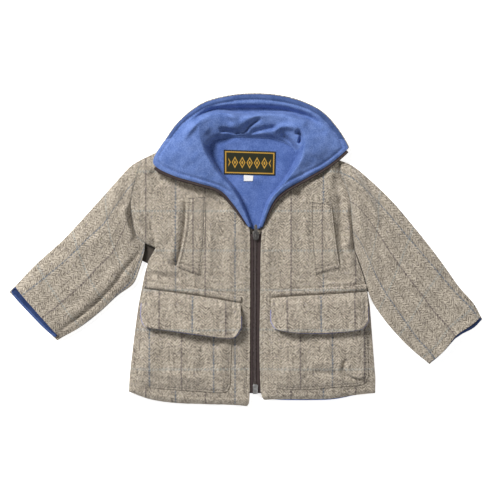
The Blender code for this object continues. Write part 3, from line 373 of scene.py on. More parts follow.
COLLAR_FOLDS = [
    ([(-86, 202), (-64, 218), (-42, 225), (10, 227),
      (58, 225), (84, 219), (104, 212), (124, 197)], 4.0, 9, -13.0),
    ([(-42, 222), (0, 222), (40, 223), (86, 217)], 6, 6, -4.5),
    ([(-118, 190), (-90, 217), (-42, 238), (17, 244), (72, 238), (112, 223), (138, 198)], 5, 6, 3.0),
    ([(-96, 176), (-74, 202), (-59, 213), (-44, 218), (-30, 218),
      (-20, 212), (-14, 204), (-18, 198), (-27, 197)], 8, 5, 7.5),
    ([(-40, 190), (-30, 191), (-20, 189), (-8, 187)], 3.2, 3, -10.0),
    ([(-60, 188), (-52, 180), (-50, 170)], 7, 7, -3.5),
    ([(-12, 190), (-2, 203), (11, 211), (30, 217), (50, 218), (70, 216), (86, 212)], 6, 7, 6.5),
    ([(-14, 188), (0, 190), (8, 199), (18, 206), (27, 209)], 3, 3, -7.0),
    ([(8, 187), (23, 191), (36, 194), (54, 196)], 4, 3, -6.0),
    ([(46, 187), (55, 194), (66, 196), (78, 194), (86, 188)], 4, 4, 7.0),
    ([(80, 188), (88, 184), (89, 176), (86, 168)], 2.6, 3, -9.5),
    ([(58, 186), (69, 176), (77, 166), (85, 157)], 3, 3, -8.5),
    ([(-104, 178), (-92, 158), (-80, 138)], 20, 20, 1.8),
    ([(114, 186), (118, 168), (112, 146)], 16, 16, 1.6),
    ([(-120, 166), (-98, 161), (-76, 150)], 8, 8, -1.6), ([(130, 186), (112, 190), (96, 202)], 7, 7, -1.8),
    ([(-60, 112), (-48, 118), (-40, 128)], 7, 7, -1.2), ([(110, 140), (100, 132), (88, 128)], 7, 7, -1.2),
]
LINING_CREASES = [
    ([(-44, 160), (-24, 172), (-4, 174)], 5, 5, 1.0), ([(10, 104), (28, 120), (46, 138)], 7, 7, 0.8),
    ([(-12, 116), (-4, 100), (2, 80)], 7, 7, 0.8), ([(24, 112), (18, 88), (16, 62)], 7, 7, -0.7),
    ([(58, 156), (66, 140), (70, 124)], 6, 6, 1.0), ([(10, 174), (36, 170), (60, 168)], 5, 5, -0.6),
]
# Waves of the flaps' free edges. Columns: flap, place along it from low X, half width along it, lift
FLAP_WAVES = [
    ("right", 0.08, 0.09, 1.6), ("right", 0.58, 0.28, 6.4), ("right", 0.93, 0.08, 1.4),
    ("left", 0.22, 0.15, 5.4), ("left", 0.62, 0.2, 1.6), ("left", 0.95, 0.08, 1.6),
]
# Overcheck lines on each panel. Columns: place of one line, spacing
STRIPES = {
    "front_right": (-62.5, 47.5), "front_left": (74.4, 51.5), "flap_right": (-135, 52.6),
    "flap_left": (68, 53.5), "pocket_right": (-100, 51), "pocket_left": (89, 51), "welt_right": (-82, 48),
    "welt_left": (124, 48), "band_right": (-62.5, 47.5), "band_left": (74.4, 51.5), "back_panel": (12, 48),
}


def path_run(path):
    """Length along a path at each of its points."""
    return np.concatenate([[0], np.cumsum(np.linalg.norm(np.diff(path, axis=0), axis=1))])


def path_shares(path):
    """Share of the length at each point of a path."""
    run = path_run(path)
    return run / run[-1]


def at_shares(path, shares):
    """Points of a path at shares of its length."""
    length = path_shares(path)
    return np.stack([np.interp(shares, length, path[:, k]) for k in range(path.shape[1])], axis=1)


def smooth(points, count):
    """Even points along a smooth curve through the given ones."""
    pts = np.array(points, float)
    if len(pts) > 2:
        ends = np.vstack([2 * pts[0] - pts[1], pts, 2 * pts[-1] - pts[-2]])
        a, b, c, d = (ends[k:len(ends) - 3 + k, None] for k in range(4))
        t = np.linspace(0, 1, CURVE_STEPS, endpoint=False)[None, :, None]
        square, cube = 2 * a - 5 * b + 4 * c - d, 3 * b - a - 3 * c + d
        curve = 0.5 * (2 * b + (c - a) * t + square * t * t + cube * t ** 3)
        pts = np.vstack([curve.reshape(-1, pts.shape[1]), pts[-1]])
    return at_shares(pts, np.linspace(0, 1, count))


def unit(vectors):
    """Vectors brought to length one."""
    return vectors / np.maximum(np.linalg.norm(vectors, axis=-1, keepdims=True), 1e-9)


def leftward(vectors):
    """Vectors turned a quarter to the left."""
    return np.stack([-vectors[..., 1], vectors[..., 0]], axis=-1)


def moved(path, reach):
    """Path moved sideways to its left by the reach."""
    return path + reach * leftward(unit(np.gradient(path, axis=0)))


def fine(length, step, edge=3.0):
    """Even shares over a length, with closer ones beside both ends for the rounded edge."""
    count = max(3, int(round(length / step)) + 1)
    extra = [e / length for e in (0.35 * edge, 0.8 * edge) if e < 0.3 * length]
    return np.array(sorted(set(np.linspace(0, 1, count)) | set(extra) | {1 - e for e in extra}))


def patch(low, high, first, last, across, along):
    """Grid of a four-sided patch: low and high run across, first and last run along."""
    low_p, high_p = at_shares(low, across), at_shares(high, across)
    first_p, last_p = at_shares(first, along), at_shares(last, along)
    u, v = across[None, :, None], along[:, None, None]
    ruled = (1 - v) * low_p[None] + v * high_p[None] + (1 - u) * first_p[:, None] + u * last_p[:, None]
    corner = ((1 - u) * (1 - v) * low_p[0] + u * (1 - v) * low_p[-1]
              + (1 - u) * v * high_p[0] + u * v * high_p[-1])
    return ruled - corner


def distance(grid, *paths):
    """Least distance of each grid point from the paths."""
    points = grid.reshape(-1, grid.shape[-1])[:, :2]
    least = np.full(len(points), 1e9)
    for path in paths:
        for start, step in zip(path, np.diff(path, axis=0)):
            t = np.clip((points - start) @ step / max(float(step @ step), 1e-9), 0, 1)
            least = np.minimum(least, np.linalg.norm(points - start - t[:, None] * step, axis=1))
    return least.reshape(grid.shape[:-1])


def ease(value, span):
    """Quarter-round rise from 0 to 1 over the span."""
    return np.sin(np.clip(value / span, 0, 1) * math.pi / 2)


def folds(grid, table):
    """Sum of soft ridges and troughs at each grid point."""
    height = np.zeros(grid.shape[:-1])
    for x0, y0, x1, y1, half, rise in table:
        reach = distance(grid, np.array([(x0, y0), (x1, y1)], float))
        height += rise * np.exp(-(reach / half) ** 2)
    return height


def creases(grid, table):
    """Sum of ridges and troughs along paths, dying away at their ends."""
    points = grid.reshape(-1, grid.shape[-1])[:, :2]
    height = np.zeros(len(points))
    for path, left, right, rise in table:
        path = smooth(path, 6 * len(path))
        shares = path_shares(path)
        wide = 3 * max(left, right)
        close = (points > path.min(axis=0) - wide) & (points < path.max(axis=0) + wide)
        picked = np.where(close.all(axis=1))[0]
        least = np.full(len(picked), 1e9)
        share, half = np.zeros(len(picked)), np.ones(len(picked))
        for k, step in enumerate(np.diff(path, axis=0)):
            rel = points[picked] - path[k]
            t = np.clip(rel @ step / max(float(step @ step), 1e-9), 0, 1)
            reach = np.linalg.norm(rel - t[:, None] * step, axis=1)
            on_left = step[0] * rel[:, 1] - step[1] * rel[:, 0] > 0
            near = reach < least
            share = np.where(near, shares[k] + t * (shares[k + 1] - shares[k]), share)
            half = np.where(near, np.where(on_left, left, right), half)
            least = np.where(near, reach, least)
        fade = ease(np.minimum(share, 1 - share), CREASE_FADE)
        height[picked] += rise * fade * np.exp(-(least / half) ** 2)
    return height.reshape(grid.shape[:-1])


def wander(grid, amount, size, turn):
    """Gentle unevenness of lying cloth: a few crossed waves of unlike lengths."""
    total = np.zeros(grid.shape[:-1])
    for k in range(7):
        angle = GOLDEN_ANGLE * k + turn
        wave = size * (0.7 + 0.23 * k)
        run = grid[..., 0] * math.cos(angle) + grid[..., 1] * math.sin(angle)
        total += np.sin(run * 2 * math.pi / wave + 1.7 * k + turn)
    return amount * total / 3.0


def groove(grid, paths, depth, half):
    """Dip that lines of sewing pull into the cloth."""
    return depth * np.exp(-(distance(grid, *paths) / half) ** 2)


def pucker(grid, path, amount, wave, reach):
    """Small ripples across a sewn edge, dying away from it."""
    near = np.exp(-(distance(grid, path) / reach) ** 2)
    run = (grid[..., :2] - path[0]) @ unit(path[-1] - path[0])
    return amount * near * np.sin(run * 2 * math.pi / wave + 0.8 * np.sin(run / 17.0))


class Graph:
    """Short forms for building a material's nodes."""

    def __init__(self, name, rough, sheen=0.0, sheen_rough=0.5, metallic=0.0, specular=0.3):
        self.mat = bpy.data.materials.new(name)
        self.mat.use_nodes = True
        self.tree = self.mat.node_tree
        self.shader = self.tree.nodes["Principled BSDF"]
        self.shader.inputs["Roughness"].default_value = rough
        self.shader.inputs["Metallic"].default_value = metallic
        self.shader.inputs["Specular IOR Level"].default_value = specular
        self.shader.inputs["Sheen Weight"].default_value = sheen
        self.shader.inputs["Sheen Roughness"].default_value = sheen_rough

    def put(self, socket, value):
        if hasattr(value, "is_linked"):
            self.tree.links.new(value, socket)
        elif isinstance(value, tuple):
            socket.default_value = (*value, 1.0)
        else:
            socket.default_value = value

    def node(self, kind, *inputs, **settings):
        made = self.tree.nodes.new(kind)
        for key, value in settings.items():
            setattr(made, key, value)
        for socket, value in zip(made.inputs, inputs):
            self.put(socket, value)
        return made

    def math(self, kind, *values):
        return self.node("ShaderNodeMath", *values, operation=kind).outputs[0]

    def add(self, a, b):
        return self.math("ADD", a, b)

    def sub(self, a, b):
        return self.math("SUBTRACT", a, b)

    def mul(self, a, b):
        return self.math("MULTIPLY", a, b)

    def gap(self, a, b):
        return self.math("ABSOLUTE", self.sub(a, b))

    def wave(self, value, length):
        return self.math("SINE", self.mul(value, 2 * math.pi / length))

    def mix(self, share, a, b):
        made = self.node("ShaderNodeMix", data_type="RGBA")
        for k, value in ((0, share), (6, a), (7, b)):
            self.put(made.inputs[k], value)
        return made.outputs[2]

    def noise(self, where, scale, detail=3.0, rough=0.6):
        made = self.node("ShaderNodeTexNoise")
        for key, value in (("Vector", where), ("Scale", scale), ("Detail", detail), ("Roughness", rough)):
            self.put(made.inputs[key], value)
        return made.outputs["Fac"]

    def span(self, value, low, high, to_low=0.0, to_high=1.0):
        kind = "ShaderNodeMapRange"
        return self.node(kind, value, low, high, to_low, to_high, interpolation_type="SMOOTHSTEP").outputs[0]

    def uv(self):
        where = self.node("ShaderNodeUVMap", uv_map="cloth").outputs[0]
        split = self.node("ShaderNodeSeparateXYZ", where)
        return where, split.outputs[0], split.outputs[1]

    def place(self):
        return self.node("ShaderNodeTexCoord").outputs["Object"]

    def finish(self, colour, height=None, bump=0.4, deep=0.0006):
        self.put(self.shader.inputs["Base Color"], colour)
        if height is not None:
            made = self.node("ShaderNodeBump")
            for key, value in (("Strength", bump), ("Distance", deep), ("Height", height)):
                self.put(made.inputs[key], value)
            self.put(self.shader.inputs["Normal"], made.outputs[0])
        return self.mat


def tweed():
    """Herringbone wool: twill turning at each rib, flecked yarn, brown and blue-grey overcheck lines."""
    g = Graph("tweed_cloth", 0.95, sheen=0.25, sheen_rough=0.6, specular=0.15)
    uv, u, v = g.uv()
    blur = g.noise(uv, 210.0, 2.0)
    zig = g.math("PINGPONG", u, HERRINGBONE)
    phase = g.add(g.add(v, zig), g.mul(g.sub(blur, 0.5), 0.0034))
    bead = g.wave(g.sub(u, g.mul(v, 0.35)), 0.0021)
    drawn = g.node("ShaderNodeCombineXYZ", phase, g.mul(u, 0.6)).outputs[0]
    streak = g.noise(drawn, 385.0, 2.0, 0.65)
    fleck = g.noise(uv, 400.0, 3.0, 0.8)
    rib = g.math("PINGPONG", g.math("FLOOR", g.math("DIVIDE", u, HERRINGBONE)), 1.0)
    cloud = g.noise(uv, 45.0, 3.0)
    tone = g.add(g.mul(g.wave(phase, TWILL), 0.17), g.mul(bead, 0.06))
    for part, share in ((streak, 2.2), (fleck, 2.5), (cloud, 0.6), (rib, 0.06)):
        tone = g.add(tone, g.mul(g.sub(part, 0.5), share))
    tone = g.span(tone, -0.80, 0.80)
    colour = g.mix(tone, (0.074, 0.057, 0.041), (0.590, 0.518, 0.419))
    hue = g.noise(uv, 180.0, 2.0)
    colour = g.mix(g.span(hue, 0.62, 0.74, 0.0, 0.35), colour, (0.33, 0.315, 0.18))
    colour = g.mix(g.span(hue, 0.40, 0.28, 0.0, 0.35), colour, (0.26, 0.235, 0.27))
    worn = g.span(g.noise(uv, 95.0, 3.0), 0.35, 0.6, 0.6, 1.0)
    row = g.math("DIVIDE", v, CHECK_ROW)
    above = g.mul(g.gap(row, g.math("ROUND", row)), CHECK_ROW)
    step = g.span(g.wave(u, 0.0048), -0.8, 0.6, 0.05, 0.38)
    across = g.mul(g.mul(g.span(above, 0.0026, 0.0008), step), worn)
    colour = g.mix(across, colour, (0.25, 0.32, 0.34))
    column = g.math("DIVIDE", u, CHECK)
    nearest = g.math("ROUND", column)
    reach = g.mul(g.gap(column, nearest), CHECK)
    dash = g.math("SINE", g.add(g.mul(v, 2 * math.pi / 0.0058), g.mul(blur, 2.0)))
    shown = g.mul(g.mul(g.span(reach, 0.0018, 0.0006), g.span(dash, -0.9, 0.5, 0.38, 0.88)), worn)
    stripe = g.mix(g.math("PINGPONG", nearest, 1.0), (0.080, 0.060, 0.062), (0.082, 0.110, 0.150))
    colour = g.mix(shown, colour, stripe)
    return g.finish(colour, g.add(g.mul(tone, 0.7), g.mul(fleck, 0.5)), 0.45, 0.0007)


def fleece(name, dark, light, sheen):
    """Brushed pile: short tangled nap with a soft bloom and faint mottling."""
    g = Graph(name, 1.0, sheen=sheen, sheen_rough=0.45, specular=0.05)
    g.shader.inputs["Sheen Tint"].default_value = (*[min(1.0, 1.3 * c + 0.1) for c in light], 1.0)
    where = g.place()
    nap = g.noise(where, 520.0, 4.0, 0.7)
    mottle = g.noise(where, 60.0, 4.0, 0.6)
    tone = g.add(g.mul(nap, 0.65), g.mul(mottle, 0.45))
    colour = g.mix(g.span(tone, 0.35, 0.78), dark, light)
    return g.finish(colour, g.add(nap, g.mul(mottle, 0.6)), 0.5, 0.0011)


def tape(name, dark, light, pitch):
    """Woven zip tape with fine ribs."""
    g = Graph(name, 0.85, sheen=0.15, specular=0.2)
    uv, u, v = g.uv()
    weave = g.span(g.mul(g.wave(u, pitch), g.wave(v, 1.4 * pitch)), -0.6, 0.8)
    worn = g.span(g.noise(uv, 90.0), 0.3, 0.7, 0.5, 1.0)
    return g.finish(g.mix(g.mul(weave, worn), dark, light), weave, 0.5, 0.0003)


def metal(name, dark, light):
    """Cast zinc, greyed and rubbed brighter in places."""
    g = Graph(name, 0.38, metallic=1.0, specular=0.5)
    wear = g.noise(g.place(), 420.0, 4.0)
    g.put(g.shader.inputs["Roughness"], g.span(wear, 0.3, 0.75, 0.5, 0.28))
    return g.finish(g.mix(g.span(wear, 0.35, 0.7), dark, light), wear, 0.2, 0.0002)


def nylon(name, dark, light):
    """Moulded nylon of the chain."""
    g = Graph(name, 0.42, specular=0.5)
    where = g.place()
    return g.finish(g.mix(g.noise(where, 700.0), dark, light), g.noise(where, 1500.0), 0.15, 0.0002)


def thread(name, dark, light):
    """Twisted sewing thread."""
    g = Graph(name, 0.75, sheen=0.2)
    twist = g.noise(g.place(), 1800.0, 2.0)
    return g.finish(g.mix(twist, dark, light), twist, 0.3, 0.0002)


def label_cloth():
    """Damask label: near-black ground with a woven gold border and a row of plain lozenges."""
    g = Graph("label_damask", 0.7, specular=0.15)
    uv, u, v = g.uv()
    edge_u, edge_v = (g.sub(0.5, g.gap(way, 0.5)) for way in (u, v))
    inside = g.math("MINIMUM", g.mul(edge_u, 2.08), edge_v)
    border = g.mul(g.span(inside, 0.045, 0.06), g.span(inside, 0.105, 0.09))
    run = g.mul(u, 7.0)
    slant = g.gap(run, g.add(g.math("FLOOR", run), 0.5))
    ring = g.add(slant, g.mul(g.gap(v, 0.5), 1.75))
    frame_line = g.mul(g.span(ring, 0.44, 0.41), g.span(ring, 0.27, 0.30))
    lozenge = g.math("MAXIMUM", frame_line, g.span(ring, 0.16, 0.13))
    gold = g.math("MAXIMUM", border, g.mul(lozenge, g.span(edge_u, 0.08, 0.1)))
    weave = g.span(g.add(g.wave(u, 1 / 110), g.wave(v, 1 / 60)), -1.6, 1.6, 0.55, 1.0)
    ground = g.mix(weave, (0.006, 0.007, 0.004), (0.024, 0.026, 0.014))
    shine = g.mix(weave, (0.24, 0.12, 0.02), (0.56, 0.32, 0.05))
    return g.finish(g.mix(g.mul(gold, 0.92), ground, shine), weave, 0.35, 0.0003)


def tab_cloth():
    """Plain white woven tab with soft grey threads."""
    g = Graph("tab_weave", 0.7, sheen=0.1)
    uv, u, v = g.uv()
    weave = g.mul(g.math("SINE", g.mul(u, 300.0)), g.math("SINE", g.mul(v, 200.0)))
    colour = g.mix(g.span(weave, -0.8, 0.8), (0.62, 0.62, 0.64), (0.86, 0.86, 0.86))
    return g.finish(colour, weave, 0.3, 0.0002)


TWEED = tweed()
FLEECE = fleece("blue_fleece", (0.066, 0.118, 0.310), (0.178, 0.262, 0.540), 0.35)
# Darker copies of the fleece, painted shade: light for the inside of the neck, mid for the collar's back edge
# and the cuff mouths, deep further into the cuffs.
FLEECE_SHADE_LIGHT = fleece("blue_fleece_painted_shade_light", (0.052, 0.097, 0.280), (0.131, 0.203, 0.470), 0.25)
FLEECE_SHADE_MID = fleece("blue_fleece_painted_shade_mid", (0.035, 0.064, 0.176), (0.088, 0.134, 0.300), 0.25)
FLEECE_SHADE_DEEP = fleece("blue_fleece_painted_shade_deep", (0.016, 0.030, 0.090), (0.045, 0.072, 0.180), 0.1)
LILAC = fleece("lilac_fleece_edge", (0.16, 0.17, 0.37), (0.36, 0.37, 0.62), 0.3)
TAPE = tape("zip_tape_weave", (0.034, 0.023, 0.022), (0.085, 0.060, 0.058), 0.0011)
METAL = metal("zip_cast_metal", (0.12, 0.11, 0.108), (0.38, 0.365, 0.35))
BOX_METAL = metal("zip_box_metal", (0.34, 0.33, 0.325), (0.72, 0.71, 0.70))
NYLON = nylon("zip_nylon_teeth", (0.040, 0.027, 0.026), (0.105, 0.076, 0.072))
# Near-black brown thread: painted shade of the dips that the sewing pulls into the tweed.
SEWING_THREAD_SHADE = thread("tweed_sewing", (0.034, 0.026, 0.021), (0.10, 0.08, 0.06))
# Near-black brown: painted shade for the sheets under the armpits.
ARMPIT_SHADE_DARK = thread("armpit_painted_shade", (0.026, 0.021, 0.017), (0.085, 0.068, 0.052))
BLUE_THREAD = thread("fleece_sewing", (0.03, 0.05, 0.16), (0.09, 0.14, 0.34))
LABEL = label_cloth()
TAB = tab_cloth()


def link(name, data):
    """New object in the scene."""
    made = bpy.data.objects.new(name, data)
    bpy.context.scene.collection.objects.link(made)
    return made


def dress(name, mesh, look, body, nodes):
    """Smooth-shaded piece from a mesh, riding on a body in place of its solids."""
    mesh.polygons.foreach_set("use_smooth", [True] * len(mesh.polygons))
    mesh.materials.clear()
    mesh.materials.append(look)
    mesh.update()
    made = link(name, mesh)
    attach(made, body)
    if nodes:
        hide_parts(*nodes)
    return made


def make(name, verts, faces, look, uvs=None, nodes=()):
    """Piece from points in the pattern's millimetres."""
    mesh = bpy.data.meshes.new(name)
    mesh.from_pydata(((np.asarray(verts, float) + SHIFT) * MM).tolist(), [], faces)
    if uvs is not None:
        layer = mesh.uv_layers.new(name="cloth")
        index = np.zeros(len(mesh.loops), dtype=np.int32)
        mesh.loops.foreach_get("vertex_index", index)
        layer.data.foreach_set("uv", np.asarray(uvs, np.float32)[index].ravel())
    return dress(name, mesh, look, BODY, nodes)


def quads_of(a, b, c, d):
    """Four-sided faces from arrays of their corners."""
    return np.stack([a, b, c, d], axis=-1).reshape(-1, 4)


def cloth(name, grid, top, bottom, uv, look, bulge, nodes=(), loops=3):
    """Closed wall between two sheets with a half-round folded rim."""
    rows, cols = grid.shape[:2]
    size = rows * cols
    upper, lower = (np.concatenate([grid, z[..., None]], axis=-1).reshape(-1, 3) for z in (top, bottom))
    flat = np.asarray(uv).reshape(-1, 2)
    index = np.arange(size).reshape(rows, cols)
    rim = np.concatenate([index[0, :], index[1:, -1], index[-1, -2::-1], index[-2:0:-1, 0]])
    edge = upper[rim, :2]
    after = np.roll(edge, -1, axis=0)
    turn = 1 if np.sum(edge[:, 0] * after[:, 1] - after[:, 0] * edge[:, 1]) > 0 else -1
    quads = quads_of(index[:-1, :-1], index[:-1, 1:], index[1:, 1:], index[1:, :-1])[:, ::turn]
    outward = -turn * leftward(unit(after - np.roll(edge, 1, axis=0)))
    verts, uvs, faces, rings = [upper, lower], [flat, flat], [quads, quads[:, ::-1] + size], [rim]
    high, low = upper[rim, 2], lower[rim, 2]
    for k in range(loops):
        angle = (k + 1) / (loops + 1) * math.pi
        out = outward * bulge * math.sin(angle)
        rings.append(np.arange(len(rim)) + 2 * size + k * len(rim))
        verts.append(np.column_stack([edge + out, high + (low - high) * (0.5 - 0.5 * math.cos(angle))]))
        uvs.append(flat[rim] + out * MM)
    rings.append(rim + size)
    for first, second in zip(rings[:-1], rings[1:]):
        faces.append(quads_of(first, second, np.roll(second, -1), np.roll(first, -1))[:, ::turn])
    return make(name, np.vstack(verts), np.vstack(faces).tolist(), look, np.vstack(uvs), nodes)


def plan_uv(name, grid):
    """Grain of an upright panel, with its overcheck lines where they show."""
    start, gap = STRIPES[name]
    return np.stack([(grid[..., 0] - start) / gap * CHECK, grid[..., 1] * MM], axis=-1)


def sewing(name, lines, height, look, pitch=3.4, long=2.8, wide=1.3, tall=0.4, lift=0.1):
    """Rows of single stitches lying on a surface."""
    verts = []
    for path in lines:
        length = path_run(path)[-1]
        count = max(2, int(length / pitch))
        shares = (np.arange(count) + 0.5) / count
        start, end = (at_shares(path, shares + half * long / length) for half in (-0.5, 0.5))
        z0, z1 = height(start), height(end)
        side = leftward(unit(end - start)) * wide / 2
        mid, zm = (start + end) / 2, (z0 + z1) / 2
        corners = ((start, z0 - 0.15), (end, z1 - 0.15), (mid + side, zm + lift), (mid - side, zm + lift),
                   (mid, zm + lift + tall), (mid, zm - 0.3))
        verts.append(np.stack([np.column_stack(corner) for corner in corners], axis=1))
    verts = np.concatenate(verts)
    faces = STITCH_FACES[None] + 6 * np.arange(len(verts))[:, None, None]
    return make(name, verts.reshape(-1, 3), faces.reshape(-1, 3).tolist(), look)


def nearest_height(grid, top):
    """Function that gives a surface's height at the grid point nearest to each point of a path."""
    points, tops = grid.reshape(-1, 2), top.ravel()
    return lambda path: np.array([tops[np.argmin(((points - p) ** 2).sum(axis=1))] for p in path])


class Side:
    """Paths of one side of the jacket, and how its cloth turns at the armhole."""

    def __init__(self, name, turn, axis, hem_sewing, sleeve_round, rounding, sunk):
        self.name, self.turn, self.axis, self.hem_sewing = name, turn, axis, hem_sewing
        self.sleeve_round, self.rounding, self.sunk = sleeve_round, rounding, sunk
        table = OUTLINES[name]
        self.hem = smooth(table["hem"], 60)
        self.inner = np.vstack([smooth(table["zip"], ZIP_POINTS), smooth(table["roll"], 40)[1:]])
        self.side = smooth(table["side"], 11)
        self.armhole = smooth(table["armhole"], 10)
        self.shoulder = smooth(table["shoulder"], 20)
        self.outer = np.vstack([self.side, self.armhole[1:]])
        self.seams = np.vstack([self.outer, self.shoulder[1:]])
        self.upper, self.lower = (smooth(table[key], 60) for key in ("sleeve_upper", "sleeve_lower"))
        self.cuff, self.under_cuff = (smooth(table[key], 40) for key in ("cuff", "under_cuff"))


# Rounding at the armhole and the share of its drop. Each: places along Y, values there
RIGHT = Side("right", 1.0, 0.61, 13.0, 6.0, ((-40, -6, 3, 18, 36, 80, 120), (20, 8, 3, 3.5, 8, 10, 22)),
             ((52, 84), (1.0, 0.0)))
LEFT = Side("left", -1.0, 0.47, 11.5, 11.0, ((-90, -40, 40, 74, 130, 150), (20, 5, 5, 11, 12, 9)),
            ((120, 150), (1.0, 1.0)))
SIDES = (RIGHT, LEFT)


def hem_line(side):
    """Hem sewing, inside the hem's edge."""
    return side.hem[3:-3] + np.array([0.0, side.hem_sewing])


def zip_line(side):
    """Sewing beside the zip's edge."""
    return side.inner[3:52] + np.array([-5.0 * side.turn, 0.0])


def band_seams(side):
    """Sunk lines below and above the band over a flap."""
    seam = smooth(FLAPS[side.name]["seam"], 30)
    return [moved(seam, 0.9), moved(seam, BAND_HEIGHT + 1.2)]


def front_top(side, grid):
    """Height of a front's face."""
    along = grid[..., 1]
    inner = distance(grid, side.inner)
    arm = ease(distance(grid, side.armhole), np.interp(along, *side.rounding))
    drop = np.maximum.reduce([
        FRONT_SIDE_DROP * (1 - ease(distance(grid, side.side, side.shoulder), FRONT_SIDE_ROUND)),
        ARMHOLE_DROP * np.interp(along, *side.sunk) * (1 - arm),
        FRONT_HEM_DROP * (1 - ease(distance(grid, side.hem), FRONT_HEM_ROUND)),
        FRONT_ZIP_DROP * (1 - ease(inner, FRONT_ZIP_ROUND))])
    calm = np.minimum(ease(inner, 16.0), ease(distance(grid, side.seams), 10.0))
    shape = folds(grid, FRONT_FOLDS) + creases(grid, FRONT_CREASES) + wander(grid, 0.4, 34.0, side.turn)
    sewn = groove(grid, [hem_line(side), zip_line(side)], *SEWN_DIP)
    sewn = sewn + groove(grid, band_seams(side), 1.9, 1.7)
    ripple = pucker(grid, side.hem, 0.5, 13.0, 14.0) + pucker(grid, side.inner[:ZIP_POINTS], 0.35, 11.0, 8.0)
    top = FRONT_TOP - drop + calm * shape - sewn + ripple
    return np.where(along < HEM_ROLL, top, np.maximum(top, BODY_WALL + SEAM_GAP + LEAST_WALL))


def edge_wall(reach):
    """Wall thickness, pressed thin at a seam."""
    return BODY_EDGE_WALL + (BODY_WALL - BODY_EDGE_WALL) * ease(reach, EDGE_TAPER)


def add_front(side):
    """Front panel with its turned hem and the sewing on it."""
    name = "front_" + side.name
    hem = side.hem if side is RIGHT else side.hem[::-1]
    grid = patch(hem, side.shoulder, side.outer, side.inner, fine(190.0, FRONT_STEP), fine(430.0, FRONT_STEP))
    top = front_top(side, grid)
    bottom = top - edge_wall(distance(grid, side.seams, side.inner))
    bottom = np.where(grid[..., 1] < HEM_ROLL, bottom, np.maximum(bottom, BODY_WALL + SEAM_GAP))
    made = cloth(name + "_cloth", grid, top, bottom, plan_uv(name, grid), TWEED, PANEL_BULGE, [name])
    sewing(name + "_sewing", [hem_line(side), zip_line(side)], lambda p: front_top(side, p), SEWING_THREAD_SHADE)


def floor_cloth(name, node, grid, edges, uv):
    """Tweed wall flat on the floor, its edges curling up to the seams."""
    rise = 1 - ease(distance(grid, *edges), EDGE_TAPER)
    top = BODY_WALL + (BACK_EDGE_TOP - BODY_WALL) * rise
    return cloth(name, grid, top, BACK_EDGE_LIFT * rise, uv, TWEED, PANEL_BULGE, [node])


def add_back():
    """Back panel under both fronts."""
    left, right = (np.vstack([side.side[::2], side.armhole[1:]]) for side in SIDES)
    left[0], right[0] = BACK_HEM[0], BACK_HEM[-1]
    high = np.vstack([RIGHT.shoulder, smooth(BACK_NECK, 30)[1:], LEFT.shoulder[::-1][1:]])
    grid = patch(smooth(BACK_HEM, 40), high, left, right, fine(390.0, 7.0, 8.0), fine(400.0, 7.0, 8.0))
    edges = [np.vstack([left, RIGHT.shoulder[1:]]), np.vstack([right, LEFT.shoulder[1:]])]
    made = floor_cloth("back_cloth", "back_panel", grid, edges, plan_uv("back_panel", grid))


def sleeve_grain(grid, across, side):
    """Grain along a sleeve, counted from the line that runs down its middle."""
    width = np.linalg.norm(grid[:, -1] - grid[:, 0], axis=-1)[:, None]
    run = path_run(grid[:, grid.shape[1] // 2])[:, None]
    u = (across[None, :] - side.axis) * width * MM
    return np.stack([u, np.broadcast_to(-run * MM, u.shape)], axis=-1)


def cuff_line(side):
    """Sewing round a cuff, inside its edge."""
    return side.cuff[2:-2] + CUFF_SEWING * unit(side.armhole[5] - side.cuff[20])


def sleeve_top(side, grid):
    """Height of an upper sleeve's face."""
    edges = distance(grid, side.upper, side.lower)
    seam = distance(grid, moved(side.armhole, side.turn * SEAM_GAP))
    sunk = (ARMHOLE_DROP + 0.2) * np.interp(grid[..., 1], *side.sunk) * (1 - ease(seam, side.sleeve_round))
    drop = np.maximum(SLEEVE_EDGE_DROP * (1 - ease(edges, SLEEVE_EDGE_ROUND)), sunk)
    mouth = 1 - ease(distance(grid, side.cuff), CUFF_RISE_LENGTH)
    calm = np.minimum(ease(edges, 14.0), ease(seam, 5.0))
    shape = folds(grid, SLEEVE_FOLDS) + creases(grid, SLEEVE_CREASES) + wander(grid, 0.5, 38.0, 2 + side.turn)
    shape = shape + SLEEVE_CROWN * ease(edges, 46.0) + CUFF_RISE * mouth
    return SLEEVE_TOP - drop + calm * shape - groove(grid, [cuff_line(side)], *SEWN_DIP)


def add_sleeve(side):
    """Upper and under halves of a sleeve, with the cuff's sewing."""
    name = side.name
    armhole = moved(side.armhole, side.turn * SEAM_GAP)[::-1]
    upper, lower = side.upper.copy(), side.lower.copy()
    upper[0] = armhole[0]
    armhole[-1] = lower[0]
    across = fine(130.0, SLEEVE_STEP)
    grid = patch(armhole, side.cuff, upper, lower, across, fine(280.0, SLEEVE_STEP))
    top = sleeve_top(side, grid)
    bottom = np.maximum(top - edge_wall(distance(grid, upper, lower, armhole)), BACK_EDGE_TOP + 0.1)
    made = cloth(f"sleeve_top_{name}_cloth", grid, top, np.minimum(bottom, top - 0.5),
                 sleeve_grain(grid, across, side), TWEED, PANEL_BULGE, [f"sleeve_top_{name}"])
    sewing(f"sleeve_{name}_sewing", [cuff_line(side)], lambda p: sleeve_top(side, p), SEWING_THREAD_SHADE)
    upper, lower = np.vstack([upper[:-1], side.under_cuff[:1]]), np.vstack([lower[:-1], side.under_cuff[-1:]])
    across = fine(130.0, 5.0, 8.0)
    grid = patch(armhole, side.under_cuff, upper, lower, across, fine(280.0, 6.0, 5.0))
    made = floor_cloth(f"sleeve_under_{name}_cloth", f"sleeve_under_{name}", grid, [upper, lower, armhole],
                       sleeve_grain(grid, across, side))


